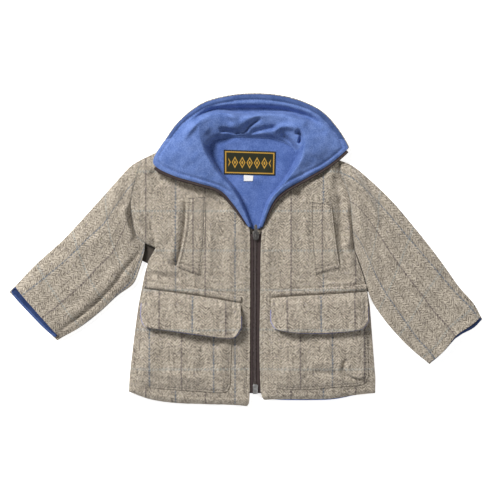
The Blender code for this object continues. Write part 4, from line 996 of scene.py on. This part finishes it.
def add_armpit_shade_sheet(side):
    """Dark sheet on the floor under an armpit, where the sleeve lies against the body: painted shade of the
    gap between them.
    """
    points, count, half = ARMPIT_SHADE_SHEETS[side.name]
    path = smooth(points, count)
    grid = np.stack([moved(path, r * half) for r in (-1.0, -0.6, -0.2, 0.2, 0.6, 1.0)], axis=1)
    low = np.full(grid.shape[:2], 0.1)
    made = cloth(f"turnings_{side.name}", grid, low + 0.8, low, grid * MM, ARMPIT_SHADE_DARK, 0.1)


def bent(value, power):
    """Signed power, which squares off a circle."""
    return np.sign(value) * np.abs(value) ** power


def add_cuff_lining(side):
    """Flattened fleece ring in a cuff mouth, coloured as painted shade: mid shade near the mouth, deep shade
    further in.
    """
    start = side.under_cuff
    width = np.linalg.norm(start[-1] - start[0])
    inward = leftward(start[-1] - start[0]) / width
    inward = inward * np.sign(inward @ (side.armhole[6] - start[20]))
    places = np.linspace(0, 1, 9)
    opening = distance(at_shares(start, places), side.cuff) + 0.6
    turns = 2 * math.pi * np.arange(72) / 72
    inset, t, turn = np.meshgrid((0.0, CUFF_LINING_WALL), np.linspace(0, 1, 12) ** 1.6, turns, indexing="ij")
    shift = (width / 2 - 3.6 - inset) * bent(np.cos(turn), 0.5) - 1.8
    share = 0.5 + shift / width
    mouth = CUFF_LINING_OUT + np.interp(share, places, opening) * (0.5 + 0.5 * bent(np.sin(turn), 0.5))
    depth = mouth + t * (CUFF_LINING_DEPTH - mouth)
    spot = at_shares(start, share.ravel()) + inward * depth.reshape(-1, 1)
    low, high = BODY_WALL + LAY_GAP + 0.2 + inset, 10.4 - 2.8 * t - inset
    height = (low + high) / 2 + (high - low) / 2 * bent(np.sin(turn), 0.7)
    height = height + 0.12 * np.sin(0.4 * shift + 5 * t)
    uvs = np.stack([shift, depth], axis=-1).reshape(-1, 2) * MM
    here = np.arange(turn.size).reshape(turn.shape)
    there = np.roll(here, -1, axis=2)
    faces = [quads_of(here[0, :-1], there[0, :-1], there[0, 1:], here[0, 1:]),
             quads_of(there[1, :-1], here[1, :-1], here[1, 1:], there[1, 1:]),
             quads_of(here[0, 0], here[1, 0], there[1, 0], there[0, 0]),
             quads_of(there[0, -1], there[1, -1], here[1, -1], here[0, -1])]
    verts = np.column_stack([spot, height.ravel()])
    made = make(f"cuff_{side.name}_fleece", verts, np.vstack(faces).tolist(), FLEECE_SHADE_MID, uvs,
                [f"cuff_lining_{side.name}"])
    made.data.materials.append(FLEECE_SHADE_DEEP)
    # Faces deeper than CUFF_SHADE_DEPTH take the deep painted shade, the rest the mid painted shade.
    for face in made.data.polygons:
        face.material_index = int(max(uvs[i][1] for i in face.vertices) > CUFF_SHADE_DEPTH)


def ends(side):
    """Names of a patch's first and last edges, from low to high X."""
    return ("side", "inner") if side is RIGHT else ("inner", "side")


def sewn_reach(grid, table):
    """Least distance of each grid point from a patch's three sewn edges."""
    return distance(grid, *(smooth(table[key], 30) for key in ("side", "low", "inner")))


def inset_line(side, table, inset, middle):
    """Line of sewing inside the free edges of a patch, as one run."""
    first, last = ends(side)
    run = smooth(table[first], 40)
    for key in ("low", last):
        path = smooth(table[key], 40)
        if np.linalg.norm(path[0] - run[-1]) > np.linalg.norm(path[-1] - run[-1]):
            path = path[::-1]
        run = np.vstack([run, path[1:]])
    line = at_shares(run, np.linspace(0, 1, 120))
    inside, outside = moved(line, inset), moved(line, -inset)
    reach = [np.linalg.norm(path - middle, axis=1).mean() for path in (inside, line)]
    return inside if reach[0] <= reach[1] else outside


def pocket_lines(side):
    """Sewing round a patch pocket."""
    table = POCKETS[side.name]
    middle = np.mean([np.mean(table[key], axis=0) for key in ("side", "inner")], axis=0)
    return [inset_line(side, table, 3.2, middle)]


def patch_base(side, grid):
    """Front's height under a sewn-on patch."""
    return front_top(side, grid) + LAY_GAP


def pocket_top(side, grid):
    """Height of a patch pocket's face, fuller in the middle."""
    reach = sewn_reach(grid, POCKETS[side.name])
    shape = 2.6 + folds(grid, POCKET_FOLDS) + creases(grid, POCKET_CREASES)
    shape = shape + wander(grid, 0.35, 30.0, 3 + side.turn)
    pinch = ease(reach, 10.0) * creases(grid, POCKET_PINCH)
    rise = np.maximum(ease(reach, POCKET_FULL) * shape, -0.4) + pinch
    rise = np.maximum(rise - groove(grid, pocket_lines(side), 0.7, 1.9), -0.45)
    return patch_base(side, grid) + PATCH_WALL * (0.45 + 0.55 * ease(reach, 7.0)) + rise


def four_sided(table, keys, across, along):
    """Grid of a sewn-on piece from its named edges: low, high, first and last."""
    low, high, first, last = (smooth(table[key], count) for key, count in zip(keys, (60, 60, 40, 40)))
    return patch(low, high, first, last, across, along)


def add_pocket(side):
    """Patch pocket with rounded corners and its sewing."""
    name = "pocket_" + side.name
    table = POCKETS[side.name]
    grid = four_sided(table, ("top", "low", *ends(side)), fine(155.0, POCKET_STEP), fine(135.0, POCKET_STEP))
    top, base = pocket_top(side, grid), patch_base(side, grid)
    lift = 3.0 * ease(sewn_reach(grid, table), POCKET_FULL)
    bottom = np.minimum(np.maximum(base, np.minimum(top - PATCH_WALL, base + lift)), top - 0.4)
    made = cloth(name + "_cloth", grid, top, bottom, plan_uv(name, grid), TWEED, PATCH_BULGE, [name])
    sewing(name + "_sewing", pocket_lines(side), lambda p: pocket_top(side, p), SEWING_THREAD_SHADE)


def flap_bottom(side, grid, along, place):
    """Height of a flap's underside: on the front at its seam, then over the pocket and lifting."""
    down = distance(grid, smooth(FLAPS[side.name]["seam"], 60))
    climb = 0.5 - 0.5 * np.cos(np.clip(down / FLAP_CLIMB, 0, 1) * math.pi)
    rest = patch_base(side, grid)
    over = pocket_top(side, grid) + 2 * LAY_GAP + FLAP_LINING_WALL + SEAM_GAP
    lift = FLAP_LIFT * along ** 2
    for flap, spot, half, rise in FLAP_WAVES:
        if flap == side.name:
            lift = lift + rise * along ** 1.6 * np.exp(-((place - spot) / half) ** 2)
    return rest + climb * np.maximum(over - rest, 0) + lift


def add_flap(side):
    """Pocket flap and its fleece lining."""
    name = side.name
    table = FLAPS[name]
    keys = ("seam", "low", *ends(side))
    across, along = fine(155.0, 2.0), fine(52.0, 1.9)
    grid = four_sided(table, keys, across, along)
    bottom = flap_bottom(side, grid, along[:, None], across[None, :])
    middle = grid.mean(axis=(0, 1))
    lines = [inset_line(side, table, 5.5, middle)]
    down = distance(grid, smooth(table["seam"], 60))
    puff = 1.5 * np.exp(-((down - 7) / 6) ** 2) - 0.9 * np.exp(-(down / 2) ** 2)
    top = bottom + FLAP_WALL + puff - groove(grid, lines, 0.8, 1.9) + wander(grid, 0.3, 26.0, 5 + side.turn)
    uv = plan_uv("flap_" + name, grid)
    made = cloth(f"flap_{name}_cloth", grid, top, bottom, uv, TWEED, 0.8, ["flap_" + name])
    sewing(f"flap_{name}_sewing", lines, nearest_height(grid, top), SEWING_THREAD_SHADE)
    along = np.linspace(0.5, 1, 18)
    low = four_sided(table, keys, across, along)
    under = flap_bottom(side, low, along[:, None], across[None, :]) - SEAM_GAP
    peek = np.zeros(low.shape[:2])
    peek[-1, :] = peek[1:, 0] = peek[1:, -1] = FLAP_PEEK
    low = low + unit(low - middle) * peek[..., None]
    made = cloth(f"flap_{name}_fleece", low, under, under - FLAP_LINING_WALL, low * MM, LILAC, PATCH_BULGE,
                 ["flap_lining_" + name])


def add_band(side):
    """Stitched band above a flap."""
    name = "band_" + side.name
    seam = smooth(FLAPS[side.name]["seam"], 60)
    lower, upper = moved(seam, BAND_START), moved(seam, BAND_HEIGHT)
    first, last = (np.array([lower[k], upper[k]]) for k in (0, -1))
    grid = patch(lower, upper, first, last, fine(155.0, 2.0), fine(11.0, 1.3, 1.5))
    rows = [moved(seam, 3.6), moved(seam, BAND_HEIGHT - 2.0)]

    def face(points):
        share = np.clip((distance(points, seam) - BAND_START) / (BAND_HEIGHT - BAND_START), 0, 1)
        rise = 2.0 * np.sin(share * math.pi) ** 0.7
        return patch_base(side, points) + PATCH_WALL - 0.6 + rise - groove(points, rows, 0.3, 1.2)

    under = patch_base(side, grid)
    made = cloth(name + "_cloth", grid, face(grid), under, plan_uv(name, grid), TWEED, 0.5, [name])
    sewing(name + "_sewing", rows, face, SEWING_THREAD_SHADE)


def add_welt(side):
    """Slanted chest welt, its mouth edge standing a little off the front, with doubled sewing at its ends."""
    name = "welt_" + side.name
    table = WELTS[side.name]
    keys = ("bottom", "top", *(("mouth", "inner") if side is RIGHT else ("inner", "mouth")))
    grid = four_sided(table, keys, fine(34.0, 1.6, 2.0), fine(125.0, 2.0))
    mouth, inner = (smooth(table[key], 40) for key in ("mouth", "inner"))
    bottom, top = (smooth(table[key], 20) for key in ("bottom", "top"))
    rise = top.mean(axis=0) - bottom.mean(axis=0)
    up, inward = unit(rise), np.array([-side.turn, 0.0])
    rows = [inner + 2.4 * inward, mouth - 2.6 * inward, bottom + 1.4 * up, bottom + 9.5 * up,
            top - 1.8 * up, top - 7.5 * up]

    def lift(points):
        share = np.clip((points[..., :2] - bottom.mean(axis=0)) @ up / np.linalg.norm(rise), 0, 1)
        return (1 - ease(distance(points, mouth), 14.0)) * np.sin(share * math.pi)

    def face(points):
        wall = PATCH_WALL * (0.3 + 0.7 * ease(distance(points, inner), 9.0))
        wall = wall * (0.4 + 0.6 * ease(distance(points, bottom, top), 6.0))
        wall = wall + lift(points) - groove(points, rows, 1.2, 1.5)
        return patch_base(side, points) + np.maximum(wall, 0.2)

    under = patch_base(side, grid) + lift(grid) - 0.2
    made = cloth(name + "_cloth", grid, face(grid), under, plan_uv(name, grid), TWEED, PATCH_BULGE, [name])
    sewing(name + "_sewing", rows, face, SEWING_THREAD_SHADE, pitch=3.0, long=3.4, wide=2.5, tall=0.5)


def spline_rows(rows, count):
    """Smooth rows between the given sections, even in section number."""
    at = np.linspace(0, len(rows) - 1, count)
    k = np.minimum(at.astype(int), len(rows) - 2)
    t = (at - k)[:, None]
    slope = np.gradient(rows, axis=0)
    return ((1 + 2 * t) * (1 - t) ** 2 * rows[k] + t * (1 - t) ** 2 * slope[k]
            + t * t * (3 - 2 * t) * rows[k + 1] + t * t * (t - 1) * slope[k + 1])


# Rows of collar points: outer edge, crest and foot
SECTIONS = np.array(COLLAR_SECTIONS, float)
OUTER, CREST, FOOT = (spline_rows(SECTIONS[:, k:k + 3], COLLAR_COUNT) for k in (0, 3, 6))


def collar_grid(profile):
    """Collar points at the profile's places: 0 at the outer edge, 1 at the crest, 2 at the foot."""
    rows = []
    for q in profile:
        if q <= 1:
            rise = 0.45 * q + 0.55 * q * q * (3 - 2 * q)
            rows.append(OUTER + (CREST - OUTER) * np.array([q, q, rise]))
        else:
            t = (q - 1) * math.pi / 2
            fall = 0.45 * (1 - math.cos(t)) + 0.55 * (q - 1)
            rows.append(CREST + (FOOT - CREST) * np.array([math.sin(t), math.sin(t), fall]))
    return np.array(rows)


def collar_uv(places, depth):
    """Grain of the collar, along its run and down its profile."""
    run = np.linspace(0, len(SECTIONS) - 1, COLLAR_COUNT) * 0.035
    return np.stack(np.broadcast_arrays(run[None, :], places * depth), axis=-1)


def add_collar():
    """Inner fleece of the collar, turned out with the fronts' tops."""
    profile = np.concatenate([[0, 0.012, 0.03], np.linspace(0.055, 1, 42), np.linspace(1.04, 2, 22)])
    sheet = collar_grid(profile)
    grid = sheet[..., :2]
    q = profile[:, None]
    calm = np.clip(q * 4, 0, 1) * np.clip((2 - q) * 3, 0, 1)
    edge = sheet[0, :, :2]
    line = (edge + COLLAR_STRIP * unit(sheet[42, :, :2] - edge))[24:-24]
    shape = creases(grid, COLLAR_FOLDS) + wander(grid, 0.5, 30.0, 9.0) + wander(grid, 0.15, 9.0, 4.0)
    top = sheet[..., 2] + calm * shape - groove(grid, [line], 1.6, 2.3) * np.clip(q * 20, 0, 1)
    rim = 1 - ease(q, RIM_ROUND)
    top = np.maximum(top, COLLAR_TWEED_WALL + FLEECE_WALL + 2 * SEAM_GAP) - RIM_DROP * rim
    sewn = ease(q - 1.5, 0.5) ** 2
    top = (1 - sewn) * top + sewn * (lining_top(grid) + SEAM_GAP + FOOT_WALL)
    wall = FLEECE_WALL - (FLEECE_WALL - FOOT_WALL) * sewn
    made = cloth("collar_fleece", grid, top, top - wall + rim, collar_uv(q, 0.05), FLEECE, 1.0,
                 ["collar_inner"], 5)
    # Darker fleece copies laid on as painted shade: the light one on the inner wall down into the neck, the
    # mid one on a strip along the back edge.
    made.data.materials.append(FLEECE_SHADE_LIGHT)
    made.data.materials.append(FLEECE_SHADE_MID)
    inside = (q > 1.12) & (sheet[44, :, 1] < 172)[None, :]
    back_edge_shade = (np.linalg.norm(grid - edge[None], axis=-1) < COLLAR_STRIP) & (edge[:, 1] > BACK_RIM)[None, :]
    shade = list(np.where(back_edge_shade, 2, inside.astype(int)).ravel()) * 2
    # Rim faces take the light painted shade at the foot and the mid painted shade along the back edge.
    for vert in made.data.vertices[len(shade):]:
        spot = np.array(vert.co[:2]) / MM - SHIFT[:2]
        at_foot = np.min(np.linalg.norm(edge - spot, axis=1)) > 8
        shade.append(1 if at_foot else 2 * int(spot[1] > BACK_RIM))
    for piece in made.data.polygons:
        piece.material_index = int(min(shade[i] for i in piece.vertices))
    sewing("collar_sewing", [line], nearest_height(grid[:30], top[:30]), BLUE_THREAD, pitch=3.9, tall=0.35)


def add_collar_outer():
    """Outer tweed of the collar, under its fleece and down to the back panel's neck edge."""
    profile = np.concatenate([[0, 0.02, 0.05], np.linspace(0.1, 1, 18)])
    sheet = collar_grid(profile)
    grid = sheet[..., :2].copy()
    q = profile[:, None]
    span = np.linspace(-1, 1, COLLAR_COUNT)
    sag = COLLAR_BACK_SAG * np.exp(-((span + 0.02) / 0.5) ** 4)[None, :] * ease(q, 0.5)
    drop = sag + FLEECE_WALL + SEAM_GAP + 0.2 * (1 - ease(q, RIM_ROUND))
    top = np.maximum(sheet[..., 2] - drop, COLLAR_TWEED_WALL)
    peek = 2.8 * np.clip((0.5 - np.abs(span)) * 30, 0, 1) - 0.4
    grid[0] = grid[0] + unit(grid[0] - grid[-1]) * peek[:, None]
    crest, crest_top, seam = grid[-1], top[-1], collar_seam(sheet[-1], top[-1])
    for t in (0.34, 0.67, 1.0):
        grid = np.concatenate([grid, ((1 - t) * crest + t * seam[:, :2])[None]])
        top = np.concatenate([top, ((1 - t) * crest_top + t * seam[:, 2])[None]])
    uv = collar_uv(np.concatenate([profile, [1.1, 1.2, 1.3]])[:, None], 0.07)
    made = cloth("collar_tweed", grid, top, top - COLLAR_TWEED_WALL, uv, TWEED, 0.7, ["collar_outer"])


def collar_seam(crest, crest_top):
    """Last row of the outer collar: along the back's neck edge, and just past the crest at the sides."""
    inward = unit(FOOT[:, :2] - crest[:, :2])
    at_side = np.column_stack([crest[:, :2] + 1.5 * inward, crest_top - 2.0])
    neck = smooth(BACK_NECK, 30)
    x = np.clip(FOOT[:, 0], neck[1, 0], neck[-2, 0])
    y = np.interp(x, neck[:, 0], neck[:, 1]) + 2 * SEAM_GAP
    at_back = np.column_stack([x, y, np.full(len(x), BODY_WALL + SEAM_GAP)])
    share = np.clip((crest[:, 1] - 182.0) / 12.0, 0, 1)[:, None]
    return (1 - share) * at_side + share * at_back


def lining_top(grid):
    """Height of the fleece inside the neck."""
    return LINING_BASE + LINING_WALL + creases(grid, LINING_CREASES)


def add_back_lining():
    """Fleece inside the neck with the label and the size tab sewn to it."""
    low, high, first, last = (smooth(path, count) for path, count in zip(NECK_EDGES, (20, 20, 40, 40)))
    grid = patch(low, high, first, last, fine(110.0, 2.5), fine(148.0, 2.5))
    bottom = np.full(grid.shape[:2], LINING_BASE)
    # Neck fleece in the light painted-shade copy of the fleece: shade of the inside of the neck.
    made = cloth("neck_fleece", grid, lining_top(grid), bottom, grid * MM, FLEECE_SHADE_LIGHT, PATCH_BULGE,
                 ["back_lining"])
    across, along = fine(80.0, 2.0), fine(40.0, 2.0)
    uv = np.stack(np.broadcast_arrays(across[None, :], along[:, None]), axis=-1)
    for name, node, corners, look, slot, size in (
            ("label_weave", "label", LABEL_CORNERS, LABEL, "label_tape", (0.083, 0.041)),
            ("tab_plain", "size_tab", TAB_CORNERS, TAB, "tab_tape", (0.015, 0.012))):
        box = np.array(corners, float)
        grid = patch(box[:2], box[2:], box[::2], box[1::2], across, along)
        base = lining_top(grid) + SEAM_GAP
        made = cloth(name, grid, base + LABEL_WALL, base, uv, look, 0.15, [node])
    sewing("label_sewing", [np.array(LABEL_SEWING)], lambda p: lining_top(p) + SEAM_GAP + LABEL_WALL,
           BLUE_THREAD, pitch=3.0, long=2.0, wide=0.6, tall=0.3, lift=0.0)


def tooth(verts, faces, centre, along, high, sizes):
    """One rounded tooth of the chain, its length along the given direction."""
    long, wide, tall = sizes
    base = len(verts)
    across = leftward(along)
    ring = [(-1, -0.6), (-0.6, -1), (0.6, -1), (1, -0.6), (1, 0.6), (0.6, 1), (-0.6, 1), (-1, 0.6)]
    for level, shrink in ((0.0, 1.0), (0.65, 0.95), (1.0, 0.6)):
        for a, b in ring:
            p = centre + along * a * long / 2 * shrink + across * b * wide / 2 * shrink
            verts.append((p[0], p[1], high + level * tall))
    for k in range(8):
        j = (k + 1) % 8
        for low in (base, base + 8):
            faces.append((low + k, low + j, low + 8 + j, low + 8 + k))
    faces.append(tuple(base + 16 + k for k in range(8)))
    faces.append(tuple(base + k for k in range(7, -1, -1)))


def add_zip():
    """Tapes and closed chain."""
    levels = np.linspace(ZIP_BOTTOM, ZIP_TOP, 90)
    edges = [np.interp(levels, side.inner[:ZIP_POINTS, 1], side.inner[:ZIP_POINTS, 0]) for side in SIDES]
    middle = (edges[0] + edges[1]) / 2
    for side, outer in zip(SIDES, edges):
        name, sign = "zip_tape_" + side.name, -side.turn
        a = np.stack([outer - sign * SEAM_GAP, levels], axis=1)
        b = np.stack([middle + sign * (ZIP_CHAIN_WIDTH / 2 + SEAM_GAP), levels], axis=1)
        grid = np.stack([(1 - t) * a + t * b for t in np.linspace(0, 1, 6)], axis=1)
        top = ZIP_TAPE_TOP + 0.12 * np.sin(grid[..., 1] / 7.0)
        low = top - ZIP_TAPE_WALL
        made = cloth(name + "_weave", grid, top, low, grid * MM, TAPE, 0.1, [name])
    verts, faces = [], []
    low, high = CHAIN_ENDS
    for k in range(int((high - low) / TOOTH_PITCH)):
        for sign in (-1.0, 1.0):
            place = low + (k + 0.5 + 0.25 * sign) * TOOTH_PITCH
            centre = np.array([np.interp(place, levels, middle) + sign * 0.95, place])
            tooth(verts, faces, centre, np.array([0.0, 1.0]), ZIP_TAPE_TOP - 0.9, (TOOTH_LENGTH, 3.5, 1.7))
    make("zip_teeth", verts, faces, NYLON, nodes=["zip_chain"])


def add_open_zip(side, picks):
    """Open tape and its teeth along a turned-out edge, at the picked collar rows."""
    name = "zip_open_" + side.name
    edge = OUTER[picks, :2]
    tangent = unit(np.gradient(edge, axis=0))
    normal = leftward(tangent)
    normal = normal * np.sign((normal * (edge - CREST[picks, :2])).sum(axis=1))[:, None]
    wide = ZIP_OPEN_WIDTH + 2.2 * np.clip(path_shares(edge) / 0.25, 0, 1)
    reach = np.linspace(0.1, 1, 5)
    grid = edge[:, None, :] + normal[:, None, :] * (wide[:, None] * reach[None, :])[..., None]
    run = path_run(edge)
    uv = np.stack(np.broadcast_arrays(reach[None, :] * MM, run[:, None] * MM), axis=-1)
    low = (OUTER[picks, 2] - RIM_DROP - 2.0)[:, None] + 0 * reach[None, :]
    made = cloth(name + "_weave", grid, low + 0.9, low, uv, TAPE, 0.1, [name])
    verts, faces = [], []
    shares = np.arange(0.5, run[-1] / TOOTH_PITCH) * TOOTH_PITCH / run[-1]
    spots = at_shares(edge + normal * (0.72 * wide)[:, None], shares)
    heights = np.interp(shares, path_shares(edge), low[:, 0])
    for spot, high, turn in zip(spots, heights, unit(at_shares(tangent, shares))):
        tooth(verts, faces, spot, turn, high + 0.5, (TOOTH_LENGTH, 1.7, 1.5))
    make(name + "_teeth", verts, faces, NYLON)


def bevelled(name, node, width, body, look):
    """Cast copy of a hard solid with its edges rounded."""
    mesh = frame["nodes"][node].data.copy()
    mesh.name = name
    work = bmesh.new()
    work.from_mesh(mesh)
    bmesh.ops.remove_doubles(work, verts=work.verts, dist=0.00001)
    bmesh.ops.dissolve_limit(work, angle_limit=0.02, verts=work.verts, edges=work.edges)
    sharp = [e for e in work.edges if len(e.link_faces) == 2 and e.calc_face_angle() > 0.4]
    bmesh.ops.bevel(work, geom=sharp, offset=width * MM, segments=3, profile=0.6, affect="EDGES",
                    clamp_overlap=True)
    work.to_mesh(mesh)
    work.free()
    dress(name, mesh, look, body, [node])


def add_hem_lining():
    """Narrow fleece edge under the left front's hem."""
    hem = LEFT.hem[4:50]
    run = np.arange(len(hem))
    tuck = 1.7 * (1 - ease(np.minimum(run, len(hem) - 1 - run), 9.0))[:, None]
    grid = np.stack([moved(hem, r + tuck) for r in (-1.5, -1.1, -0.8, -0.4)], axis=1)
    top = front_top(LEFT, hem)[:, None] + np.zeros((1, 4)) - 1.0
    made = cloth("hem_left_fleece", grid, top, top - 1.8, grid * MM, FLEECE, 0.2,
                 ["hem_lining_left"])


def add_stage():
    """Pale floor, soft studio light and the camera straight above."""
    mesh = bpy.data.meshes.new("floor")
    mesh.from_pydata([(-4, -4, 0), (4, -4, 0), (4, 4, 0), (-4, 4, 0)], [], [(0, 1, 2, 3)])
    g = Graph("floor_paint", 0.9, specular=0.1)
    g.shader.inputs["Emission Color"].default_value = (1.0, 1.0, 1.0, 1.0)
    g.shader.inputs["Emission Strength"].default_value = 0.7
    mesh.materials.append(g.finish(g.mix(g.noise(g.place(), 6.0), (0.86, 0.86, 0.86), (0.89, 0.89, 0.89))))
    floor = link("floor", mesh)
    floor.location.z = -0.0002
    for name, place, power, size in LIGHTS:
        data = bpy.data.lights.new(name, "AREA")
        data.energy = power
        data.size = size
        light = link(name, data)
        light.location = place
        aim = unit(-np.array(place))
        light.rotation_euler = (math.acos(-aim[2]), 0, math.atan2(aim[1], aim[0]) - math.pi / 2)
    world = bpy.data.worlds.new("studio")
    world.use_nodes = True
    world.node_tree.nodes["Background"].inputs[0].default_value = (1.0, 1.0, 1.0, 1.0)
    world.node_tree.nodes["Background"].inputs[1].default_value = WORLD_LIGHT
    bpy.context.scene.world = world
    bpy.context.scene.view_settings.view_transform = "Standard"
    data = bpy.data.cameras.new("camera")
    data.lens = LENS
    data.sensor_width = SENSOR
    camera = link("camera", data)
    centre = (np.array([*PHOTO_CENTRE, 0.0]) + SHIFT) * MM
    camera.location = (centre[0], centre[1], PHOTO_SPAN * LENS / SENSOR + MEAN_HEIGHT)
    bpy.context.scene.camera = camera


def main():
    """Whole scene."""
    add_stage()
    add_back()
    for side in SIDES:
        for add in (add_front, add_sleeve, add_armpit_shade_sheet, add_cuff_lining,
                    add_pocket, add_flap, add_band, add_welt):
            add(side)
    add_back_lining()
    add_collar()
    add_collar_outer()
    add_zip()
    add_open_zip(RIGHT, np.arange(2, 70))
    add_open_zip(LEFT, np.arange(COLLAR_COUNT - 3, COLLAR_COUNT - 73, -1))
    add_hem_lining()
    bevelled("slider_cast", "zip_slider", 0.45, BODY, METAL)
    bevelled("box_cast", "zip_box", 0.5, BODY, BOX_METAL)
    bevelled("pull_cast", "zip_pull", 0.25, "pull_tab", METAL)


main()
